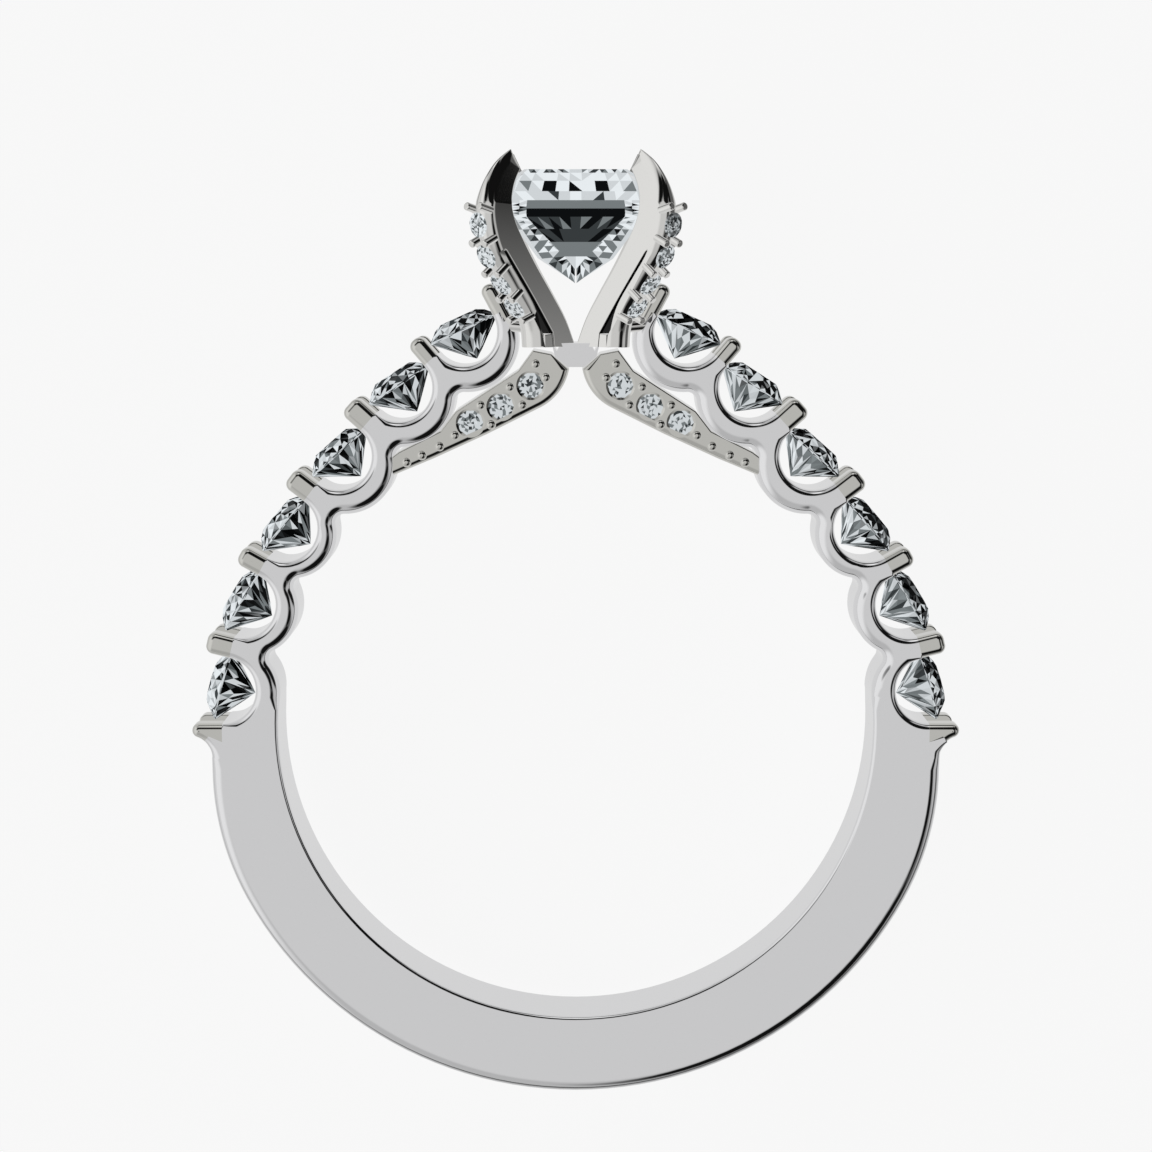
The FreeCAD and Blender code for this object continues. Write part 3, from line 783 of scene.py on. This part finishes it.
def add_arms(form):
    """The two bridge arms, arched below, with a conical seat for each of their stones."""
    start, middle, leave = (v2(p) for p in ARM_BOTTOM)
    end = v2(ARM_END)
    centre = circle_centre(start, middle, leave)
    turn_at = next_centre(centre, leave, end)
    holes = [(v2(p), BRIDGE_SEAT_RADIUS, BRIDGE_SEAT_DEPTH) for p in BRIDGE_STONES]
    for place in (plain, mirrored):
        path = Path()
        path.run(arc(centre, start, leave, middle), ARM_ROUND)
        path.run(short_arc(turn_at, leave, end), ARM_ROUND)
        path.run([end] + list(ARM_TOP) + [start], ARM_TOP_ROUND)
        form.plate(path, -ARM_HALF, ARM_HALF, place, holes=holes)


def bead_profile():
    """The part of a ball that stands out of the metal."""
    rows = []
    for degrees in range(BEAD_LOW_DEG, 91, 10):
        a = math.radians(degrees)
        along, out = math.sin(a), math.cos(a)
        rows.append((BEAD_RADIUS * along, BEAD_RADIUS * out, along, out))
    return rows


def rod_profile(radius, length, bevel):
    """A rod with a flat end and a small round between."""
    rows = [(0.0, radius, 0.0, 1.0), (length - bevel, radius, 0.0, 1.0)]
    for degrees in range(15, 91, 15):
        along, out = math.sin(math.radians(degrees)), math.cos(math.radians(degrees))
        rows.append((length - bevel * (1.0 - along), radius - bevel * (1.0 - out), along, out))
    rows.append((length, END_RADIUS, 1.0, 0.0))
    return rows


def quarters(v):
    """A point of the front left quarter with its images in the other three."""
    return [Vector((sx * v.x, v.y, sz * v.z)) for sz in (1, -1) for sx in (1, -1)]


def add_beads(form):
    """The lone beads and the two between each two bridge stones."""
    places = [v2(p) for p in LONE_BEADS]
    for p, q in pairs([v2(p) for p in BRIDGE_STONES]):
        side = turned(toward(p, q)) * BEAD_SIDE
        places += [(p + q) / 2 + side, (p + q) / 2 - side]
    for p in places:
        for centre in quarters(Vector((p.x, p.y, ARM_HALF - BEAD_SINK))):
            form.turned_piece(centre, Vector((0, 0, centre.z)), bead_profile())


def diagonal(d, p, y):
    """A point of the front left claw: d out along the diagonal, p across it, at height y."""
    return Vector(((p - d) / ROOT2, y, (p + d) / ROOT2))


def claw_place(sx, sz):
    """Maps d, y and p of a claw into the quarter with these signs."""
    def put(v):
        at = diagonal(v.x, v.z, v.y)
        return Vector((sx * at.x, at.y, sz * at.z))
    return put


def claw_bend(position, normal):
    """Turns the rail's sides softly to the back and brings the claw's upper end to a point."""
    tip = CLAW_BACK[-1][1]
    for low, high in pairs(RAIL_LINE):
        if low[1] <= position.y <= high[1]:
            share = (position.y - low[1]) / (high[1] - low[1])
            if position.x > low[0] + share * (high[0] - low[0]):
                lean = RAIL_LEAN * min(1.0, (RAIL_LINE[-1][1] - position.y) / RAIL_FADE)
                normal = normal + rail_point(position.y)[1].to_3d() * (lean * abs(normal.z))
    slope = (1.0 - CLAW_TIP_HALF / CLAW_HALF) / (tip - CLAW_TAPER_FROM)
    over = position.y - CLAW_TAPER_FROM
    if over <= 0.0:
        return position, normal
    k = 1.0 - slope * over
    bent = Vector((position.x, position.y, position.z * k))
    out = Vector((normal.x, normal.y + position.z * slope / k * normal.z, normal.z / k))
    return bent, out


def add_claws(form):
    """Each claw is one plate round its slot, closed at the foot by a filler plate."""
    inside = spline(CLAW_INSIDE)
    back = spline(CLAW_BACK)
    slot = spline(SLOT[1:4], 4)[:-1] + spline(SLOT[3:6], 6)[:-1] + spline(SLOT[5:8], 4)
    for sx in (1, -1):
        for sz in (1, -1):
            put = claw_place(sx, sz)
            path = Path()
            path.run(inside, ROUND_FINE)
            path.run([inside[-1], back[-1]], ROUND_FINE)
            path.run(back[::-1], ROUND_CLAW_BACK)
            path.run([back[0], v2(SLOT[-1])], 0.0, True)
            # The slot's walls get the near-black painted shade
            path.run([v2(SLOT[-1])] + slot[::-1] + [v2(SLOT[0])], ROUND_STRAP, slot_shade=True)
            path.run([v2(SLOT[0]), inside[0]], 0.0, True)
            form.plate(path, -CLAW_HALF, CLAW_HALF, put, bend=claw_bend)
            path = Path()
            path.run([v2(SLOT[-2]), v2(SLOT[1])], ROUND_FINE)
            path.run([v2(SLOT[1]), v2(SLOT[0]), v2(SLOT[-1]), v2(SLOT[-2])], 0.0, True)
            form.plate(path, -CLAW_HALF, CLAW_HALF, put)


def rail_point(y):
    """Distance of the claw's back at a height, and its outward normal in the (d, y) plane."""
    for low, high in pairs(CLAW_BACK):
        if low[1] <= y <= high[1]:
            share = (y - low[1]) / (high[1] - low[1])
            along = toward(v2(low), v2(high))
            return low[0] + share * (high[0] - low[0]), Vector((along.y, -along.x))
    raise ValueError("height outside the claw")


def add_pins(form):
    """Two pins at each row, square to the claw's back."""
    length = PIN_SINK + PIN_RISE
    for y in PIN_ROWS:
        d, normal = rail_point(y)
        for p in (-PIN_SIDE, PIN_SIDE):
            root = diagonal(d - PIN_SINK * normal.x, p, y - PIN_SINK * normal.y)
            tip = diagonal(d + PIN_RISE * normal.x, p, y + PIN_RISE * normal.y)
            for a, b in zip(quarters(root), quarters(tip)):
                form.turned_piece(a, b - a, rod_profile(PIN_RADIUS, length, PIN_BEVEL))


def add_joints(form):
    """Solder joints between the top cradles and the claws."""
    for a, b in zip(quarters(JOINT_FROM), quarters(JOINT_TO)):
        form.turned_piece(a, b - a, rod_profile(JOINT_RADIUS, (b - a).length, JOINT_BEVEL))


def add_base(form):
    """The block where the claws stand on the bridge, with two notches in its top."""
    (low_y, low_x, low_z), (high_y, high_x, high_z) = BASE_LEVELS
    rise = high_y - low_y

    def depth(y):
        return low_z + (high_z - low_z) * (y - low_y) / rise

    notch = high_y - BASE_NOTCH_DEPTH
    outline = [(-low_x, low_y), (low_x, low_y), (high_x, high_y)]
    for x in (BASE_NOTCH_X, -BASE_NOTCH_X):
        outline += [(x + BASE_NOTCH_HALF, high_y), (x, notch), (x - BASE_NOTCH_HALF, high_y)]
    outline.append((-high_x, high_y))
    for sz in (1, -1):
        face = [Vector((x, y, sz * depth(y))) for x, y in outline]
        ids = [form.vertex(p, (0.0, 0.0, sz)) for p in face]
        for triangle in tessellate_polygon([[Vector((x, y, 0.0)) for x, y in outline]]):
            form.face([ids[k] for k in triangle])
    for (ax, ay), (bx, by) in ringed(outline):
        out = Vector((by - ay, ax - bx, 0.0))
        corners = [Vector((ax, ay, depth(ay))), Vector((bx, by, depth(by))),
                   Vector((bx, by, -depth(by))), Vector((ax, ay, -depth(ay)))]
        form.face([form.vertex(p, out) for p in corners])


class Nodes:
    """Adds shader nodes whose inputs are numbers, colours or outputs of other nodes."""

    def __init__(self, tree):
        self.tree = tree
        tree.nodes.clear()

    def add(self, kind, *values, out=0, **settings):
        """Sets or joins a new node's first inputs, and gives the output that is asked for."""
        node = self.tree.nodes.new(kind)
        for key, value in settings.items():
            setattr(node, key, value)
        for socket, value in zip(node.inputs, values):
            if isinstance(value, bpy.types.NodeSocket):
                self.tree.links.new(value, socket)
            else:
                socket.default_value = value
        return node.outputs[out] if node.outputs else None

    def math(self, operation, a, b):
        return self.add("ShaderNodeMath", a, b, operation=operation)

    def smooth(self, value, low, high, to_low, to_high):
        """Goes softly from one level to another while a value goes from low to high."""
        return self.add("ShaderNodeMapRange", value, low, high, to_low, to_high,
                        interpolation_type="SMOOTHSTEP")

    def dot(self, vector, direction):
        return self.add("ShaderNodeVectorMath", vector, direction, out="Value",
                        operation="DOT_PRODUCT")

    def switch(self, first, second):
        """The first shader, or the second where the camera looks straight at it."""
        seen = self.add("ShaderNodeLightPath", out="Is Camera Ray")
        return self.add("ShaderNodeMixShader", seen, first, second)


def new_material(name):
    """A material without nodes, and the helper that adds them."""
    material = bpy.data.materials.new(name)
    material.use_nodes = True
    return material, Nodes(material.node_tree)


def add_object(name, data):
    made = bpy.data.objects.new(name, data)
    bpy.context.scene.collection.objects.link(made)
    return made


# Soft boxes (above the base level) and dark screens (below it) round the ring, by direction
STUDIO_CARDS = [
    # x, y, z of the card's middle in the ring's frame, half angle, soft edge, level
    (0.0, 0.0, 1.0, 34.0, 12.0, 0.20),
    (-1.0, 0.0, 0.15, 46.0, 14.0, 0.45),
    (1.0, 0.45, 0.0, 22.5, 9.0, -1.0),
    (0.70, -0.70, 0.60, 20.0, 13.0, -0.55),
    (0.45, -0.90, 0.50, 20.0, 8.0, -0.65),
    (0.85, -0.20, 0.85, 12.0, 7.0, -0.6),
    (0.85, 0.30, 0.85, 13.0, 6.0, -0.7),
    (0.50, 0.75, 0.72, 23.0, 5.0, -1.0),
    (0.0, 0.90, 0.85, 12.0, 7.0, -0.6),
    (-0.45, 0.80, 0.85, 13.0, 7.0, -0.8),
    (-0.80, 0.45, 0.85, 10.0, 7.0, -0.7),
    (0.0, 1.0, -0.05, 14.0, 8.0, -0.6),
    (0.0, 1.0, 0.22, 9.0, 5.0, 0.9),
]


def build_world():
    """The studio that the metal and the facets mirror. The camera itself sees plain white."""
    world = bpy.data.worlds.new("studio")
    world.use_nodes = True
    n = Nodes(world.node_tree)
    around = n.add("ShaderNodeTexCoord", out="Generated")
    level = STUDIO_BASE
    for x, y, z, half, soft, light in STUDIO_CARDS:
        facing = n.dot(around, row_direction(x, y, z))
        inner = math.cos(math.radians(max(half - soft, 0.0)))
        outer = math.cos(math.radians(half + soft))
        level = n.math("ADD", n.smooth(facing, outer, inner, 0.0, light), level)
    level = n.math("MAXIMUM", level, STUDIO_DARKEST)
    studio = n.add("ShaderNodeBackground", STUDIO_GREY, level)
    seen = n.add("ShaderNodeBackground", WHITE, STUDIO_SEEN)
    n.add("ShaderNodeOutputWorld", n.switch(studio, seen))
    bpy.context.scene.world = world


def build_camera():
    data = bpy.data.cameras.new("photo_camera")
    data.lens = CAMERA_LENS
    data.sensor_width = SENSOR
    data.sensor_fit = "HORIZONTAL"
    data.clip_start = 0.001
    data.clip_end = 10.0
    camera = add_object("photo_camera", data)
    drop = math.radians(CAMERA_DROP_DEG)
    right = row_direction(1.0, 0.0, 0.0)
    up = row_direction(0.0, math.cos(drop), -math.sin(drop))
    back = row_direction(0.0, math.sin(drop), math.cos(drop))
    turn = Matrix((right, up, back)).transposed().to_4x4()
    camera.matrix_world = Matrix.Translation(row_point(*CAMERA_AT_MM)) @ turn
    bpy.context.scene.camera = camera


def build_floor():
    """Pale paper, evenly bright to the camera; the metal mirrors a painted glow on it that is brightest
    right under the ring and on its left.
    """
    mesh = bpy.data.meshes.new("floor")
    s = FLOOR_HALF
    mesh.from_pydata([(-s, -s, 0), (s, -s, 0), (s, s, 0), (-s, s, 0)], [], [(0, 1, 2, 3)])
    floor = add_object("floor", mesh)
    material, n = new_material("floor_paper_with_painted_glow")
    place = n.add("ShaderNodeTexCoord", out="Object")
    far = n.add("ShaderNodeVectorMath", place, out="Value", operation="LENGTH")
    left = n.dot(place, (-1.0, 0.0, 0.0))
    # Painted glow for reflections: bright under the ring and on its left, dark further out
    glow = n.math("MAXIMUM", n.smooth(far, *GLOW_ROUND_M, FLOOR_NEAR, FLOOR_FAR),
                  n.smooth(left, *GLOW_LEFT_M, 0.0, FLOOR_NEAR))
    under = n.add("ShaderNodeEmission", WHITE, glow)
    paper = n.add("ShaderNodeBsdfDiffuse", (FLOOR_ALBEDO, FLOOR_ALBEDO, FLOOR_ALBEDO, 1.0))
    both = n.add("ShaderNodeAddShader", paper, n.add("ShaderNodeEmission", WHITE, FLOOR_SEEN))
    n.add("ShaderNodeOutputMaterial", n.switch(under, both))
    mesh.materials.append(material)


def metal_material(name, colour):
    material, n = new_material(name)
    shader = n.add("ShaderNodeBsdfPrincipled", (*colour, 1.0), 1.0, METAL_ROUGHNESS)
    n.add("ShaderNodeOutputMaterial", shader)
    return material


def scatter(number, salt):
    """A steady number between -1 and 1 that looks random."""
    value = math.sin(number * SCATTER[0] + salt * SCATTER[1]) * SCATTER[2]
    return 2.0 * (value - math.floor(value)) - 1.0


def pick(tones, number):
    """Painted tone and lean of one of the tones named in a line, steady for a number."""
    tones = tones.split()
    return TONES[tones[int(abs(scatter(number, 7.0)) * len(tones)) % len(tones)]]


def small_stone(form, centre, axis, radius):
    """A small brilliant as its bright facets look from above: tilted mirrors in rings, each with a
    painted reflection tone.
    """
    side = axis.orthogonal().normalized()
    other = axis.cross(side)
    rings = []
    for share, height, count, shift, swing in SPARKLE_RINGS:
        ring = []
        for k in range(count):
            a = 2.0 * math.pi * (k + shift) / count
            up = height + (swing if k % 2 else -swing)
            ring.append(centre + (side * math.cos(a) + other * math.sin(a)) * share * radius
                        + axis * up * radius)
        rings.append(ring)
    top = centre + axis * SPARKLE_TOP * radius

    def facet(*corners):
        seed = len(form.faces) % SPARKLE_SEEDS
        lean = side * scatter(seed, 1.0) + other * scatter(seed, 2.0)
        out = axis + lean * SPARKLE_SWING
        form.face([form.vertex(p, out) for p in corners], pick(SPARKLE_TONES, seed)[0])

    for p, q in ringed(rings[0]):
        facet(top, p, q)
    for lower, upper in pairs(rings):
        m, n = len(lower), len(upper)
        i = j = 0
        while i < m or j < n:
            if j * m <= i * n and j < n or i == m:
                facet(lower[i % m], upper[j % n], upper[(j + 1) % n])
                j += 1
            else:
                facet(lower[i % m], lower[(i + 1) % m], upper[j % n])
                i += 1


def add_small_stones(form):
    """Bridge stones look out of the faces, claw stones out of the claws' backs."""
    depth = BRIDGE_RADIUS * (CROWN_SHARE + GIRDLE_SHARE / 2.0) - PAVE_RISE
    for x, y in BRIDGE_STONES:
        for at in quarters(Vector((x, y, ARM_HALF - depth))):
            small_stone(form, at, Vector((0, 0, 1.0 if at.z > 0 else -1.0)), BRIDGE_RADIUS)
    for above, below in pairs(PIN_ROWS):
        y = (above + below) / 2.0
        d, normal = rail_point(y)
        at = diagonal(d + RAIL_RISE * normal.x, 0.0, y + RAIL_RISE * normal.y)
        way = diagonal(normal.x, 0.0, normal.y)
        for place, axis in zip(quarters(at), quarters(way)):
            small_stone(form, place, axis.normalized(), RAIL_STONE_RADIUS)


def square_half_width(y):
    """Half width of the square stone at a height."""
    for upper, lower in pairs(SQUARE_LEVELS):
        if upper[0] >= y >= lower[0]:
            share = (upper[0] - y) / (upper[0] - lower[0])
            return upper[1] + (lower[1] - upper[1]) * share
    low = SQUARE_LEVELS[-1]
    return low[1] * (y - SQUARE_CULET) / (low[0] - SQUARE_CULET)


def add_square_strips(put, facet):
    """Level strips of facets, narrower towards the culet and alike on the left and the right."""
    for y1, x1, y2, x2, parts, tones in SQUARE_STRIPS:
        for k in range(parts):
            left, right = 2 * k / parts - 1, 2 * (k + 1) / parts - 1
            corners = [put(x1 * left, y1), put(x1 * right, y1), put(x2 * right, y2), put(x2 * left, y2)]
            if 2 * k + 1 > parts:
                corners = corners[1:] + corners[:1]
            seed = min(k, parts - 1 - k) * STRIP_SEEDS[0] + y1 * STRIP_SEEDS[1]
            facet(corners[:3], pick(tones, seed))
            facet([corners[0]] + corners[2:], pick(tones, seed + (STRIP_SEEDS[2] if parts > 1 else 0)))


def add_square_edges(put, facet):
    """Small facets down both sides of the strips."""
    for side in (-1, 1):
        for number, (one, two) in enumerate(pairs(SQUARE_EDGES)):
            def spot(t, u):
                outer = v2(one[:2]) * (1 - t) + v2(two[:2]) * t
                inner = v2(one[2:]) * (1 - t) + v2(two[2:]) * t
                at = outer * (1 - u) + inner * u
                return put(side * at.x, at.y)

            for k in range(EDGE_PARTS):
                for row in range(EDGE_ROWS):
                    t, u = k / EDGE_PARTS, row / EDGE_ROWS
                    next_t, next_u = (k + 1) / EDGE_PARTS, (row + 1) / EDGE_ROWS
                    a, b, c, d = spot(t, u), spot(t, next_u), spot(next_t, u), spot(next_t, next_u)
                    seed = sum(a * b for a, b in zip(EDGE_SEEDS, (number, k, row)))
                    facet([a, b, c], pick(EDGE_TONES, seed))
                    facet([c, b, d], pick(EDGE_TONES, seed + 1))


def add_square_corner(spin, facet, turn):
    """The cut corner to the right of a side, from the table down to the culet."""
    def ends(level):
        y, half, flat = level
        return spin @ Vector((flat, y, half)), spin @ Vector((half, y, flat))

    for number, (upper, lower) in enumerate(pairs(SQUARE_LEVELS)):
        one, two = ends(upper)
        three, four = ends(lower)
        facet([one, two, four, three], pick(EDGE_TONES, number + turn))
    one, two = ends(SQUARE_LEVELS[-1])
    facet([one, two, Vector((0.0, SQUARE_CULET, 0.0))], TONES["light"])


def add_square_table(form, spin, turn):
    """A quarter of the table, as rings of facets round its middle, and its cut corner."""
    y, half, flat = SQUARE_LEVELS[0]
    rings = []
    for share, off in TABLE_RINGS:
        ring = []
        for k in range(TABLE_PARTS + 1):
            x = flat * (2 * k / TABLE_PARTS - 1) + off * (k % 2)
            ring.append(spin @ Vector((share * x, y, share * half)))
        rings.append(ring)
    for level, (outer, inner) in enumerate(pairs(rings)):
        for k in range(TABLE_PARTS):
            split = ((outer[k], outer[k + 1], inner[k]), (outer[k + 1], inner[k + 1], inner[k]))
            for part, corners in enumerate(split):
                seed = sum(a * b for a, b in zip(TABLE_SEEDS, (turn, level, k))) + part
                out = (TABLE_SWING * scatter(seed, 1.0), 1.0, TABLE_SWING * scatter(seed, 2.0))
                form.face([form.vertex(p, out) for p in corners])
    corner = [spin @ Vector((flat, y, half)), spin @ Vector((half, y, flat)), Vector((0.0, y, 0.0))]
    form.face([form.vertex(p, CORNER_LEAN) for p in corner])


def add_square_stone(form):
    """Square brilliant. Each side shows its facets as strips of leaning mirrors, coloured in painted
    light, grey, dark and black reflection tones.
    """
    for turn in range(4):
        spin = Matrix.Rotation(math.pi / 2.0 * turn, 3, "Y")

        def put(x, y):
            return spin @ Vector((x, y, square_half_width(y)))

        def facet(corners, tone):
            painted_tone, lean = tone
            lean = math.radians(lean + FACET_SWAY * scatter(len(form.faces), 4.0))
            out = spin @ Vector((math.sin(lean), 0.0, math.cos(lean)))
            form.face([form.vertex(p, out) for p in corners], painted_tone)

        add_square_strips(put, facet)
        add_square_edges(put, facet)
        add_square_corner(spin, facet, turn)
        add_square_table(form, spin, turn)


def round_facets(radius):
    """Facets of a round brilliant with its axis along +Z, its girdle's middle at the origin."""
    eighth = math.pi / 4.0
    cos_half = math.cos(eighth / 2.0)
    girdle = GIRDLE_SHARE * radius / 2.0
    crown, pavilion = CROWN_SHARE * radius, PAVILION_SHARE * radius
    star_z = girdle + crown * (1.0 - STAR_SHARE * cos_half) / (1.0 - TABLE_SHARE)
    lower_z = -girdle - pavilion * (1.0 - LOWER_SHARE * cos_half)

    def ring(share, z, shift):
        points = []
        for k in range(8):
            a = eighth * (k + shift)
            points.append(Vector((share * radius * math.cos(a), share * radius * math.sin(a), z)))
        return points

    table = ring(TABLE_SHARE, girdle + crown, 0.0)
    star = ring(STAR_SHARE, star_z, 0.5)
    top, top_half = ring(1.0, girdle, 0.0), ring(1.0, girdle, 0.5)
    low, low_half = ring(1.0, -girdle, 0.0), ring(1.0, -girdle, 0.5)
    lower = ring(LOWER_SHARE, lower_z, 0.5)
    culet = Vector((0.0, 0.0, -girdle - pavilion))
    facets = []
    for k in range(8):
        n, b = (k + 1) % 8, (k - 1) % 8
        facets.append([table[k], table[n], Vector((0.0, 0.0, girdle + crown))])
        facets.append([table[k], star[b], top[k], star[k]])
        facets.append([table[k], star[k], table[n]])
        facets.append([star[k], top[k], top_half[k]])
        facets.append([star[k], top_half[k], top[n]])
        facets.append([top[k], low[k], low_half[k], top_half[k]])
        facets.append([top_half[k], low_half[k], low[n], top[n]])
        facets.append([lower[k], low_half[k], low[k]])
        facets.append([lower[k], low[n], low_half[k]])
        facets.append([culet, lower[k], low[k], lower[b]])
    return facets


def add_round_stone(form, place, axis, first_seed):
    """A round stone. Each facet is parted round its middle, and each part leans its own way and has its
    own painted reflection tone.
    """
    turn = Vector((0.0, 0.0, 1.0)).rotation_difference(axis).to_matrix()
    for index, facet in enumerate(round_facets(SHOULDER_RADIUS)):
        middle = sum(facet, Vector()) / len(facet)
        out = turn @ (facet[1] - facet[0]).cross(facet[2] - facet[0]).normalized()
        if out.dot(turn @ (middle - STONE_HEART)) < 0.0:
            out = -out
        out += Vector((0.0, 0.0, math.copysign(FACET_OUT, out.z)))
        out.normalize()
        rim = []
        for p, q in ringed([turn @ p + place for p in facet]):
            rim += [p, (p + q) / 2.0]
        centre = turn @ middle + place
        tones = CROWN_TONES if middle.z > PAVILION_BELOW else PAVILION_TONES
        for k, (p, q) in enumerate(ringed(rim)):
            seed = first_seed + index * FACET_SEED + k
            swing = Vector((scatter(seed, 1.0), scatter(seed, 2.0), scatter(seed, 3.0)))
            normal = out + swing * FACET_SWING
            form.face([form.vertex(v, normal) for v in (p, q, centre)], pick(tones, seed)[0])


def add_shoulder_stones(form):
    for number, (x, y, lean) in enumerate(SHOULDER_STONES):
        for side in (1.0, -1.0):
            a = math.radians(lean)
            axis = Vector((-side * math.sin(a), math.cos(a), 0.0))
            first_seed = number * STONE_SEED + (RIGHT_SEED if side > 0 else 0)
            add_round_stone(form, Vector((side * x, y, 0.0)), axis, first_seed)


def stones_of(word):
    return [name for name in frame["nodes"] if name.startswith(word)]


def dress_nodes():
    """The pieces that are seen in place of the plain solids."""
    bright = metal_material("white_gold_bright", BRIGHT_GOLD)
    soft = metal_material("white_gold_soft", SOFT_GOLD)
    warm = metal_material("white_gold_warm", WARM_GOLD)
    # Near-black metal that paints the shade inside the claws' slots
    slot_shade_metal = metal_material("white_gold_painted_slot_shade", SLOT_PAINTED_SHADE)
    # Facet materials whose colours paint the stones' reflections
    facets = [metal_material("facet_painted_tone_" + str(k + 1), c) for k, c in enumerate(FACET_PAINTED_TONES)]
    band, tips, head = build_band(), Form(), Form()
    add_base(band)
    for add in (add_prongs, add_arms, add_beads):
        add(tips)
    for add in (add_claws, add_pins, add_joints):
        add(head)
    small, square, rounds = Form(), Form(), Form()
    add_small_stones(small)
    add_square_stone(square)
    add_shoulder_stones(rounds)
    band.piece("polished_band", [bright], "white_gold", ["ring_mount"])
    tips.piece("polished_prongs_and_bridge", [soft], "white_gold", ["ring_mount"])
    head.piece("polished_claws", [warm, slot_shade_metal], "white_gold", ["ring_mount"])
    small.piece("small_brilliants", facets, "side_gems",
                stones_of("bridge_stone") + stones_of("prong_stone"))
    square.piece("square_brilliant", facets, "centre_gem", ["centre_stone"])
    rounds.piece("shoulder_brilliants", facets, "side_gems", stones_of("shoulder_stone"))
    for name, node in frame["nodes"].items():
        node.data.materials.clear()
        node.data.materials.append(bright if name == "ring_mount" else facets[0])


bpy.context.scene.view_settings.view_transform = "Standard"
build_camera()
build_world()
build_floor()
dress_nodes()
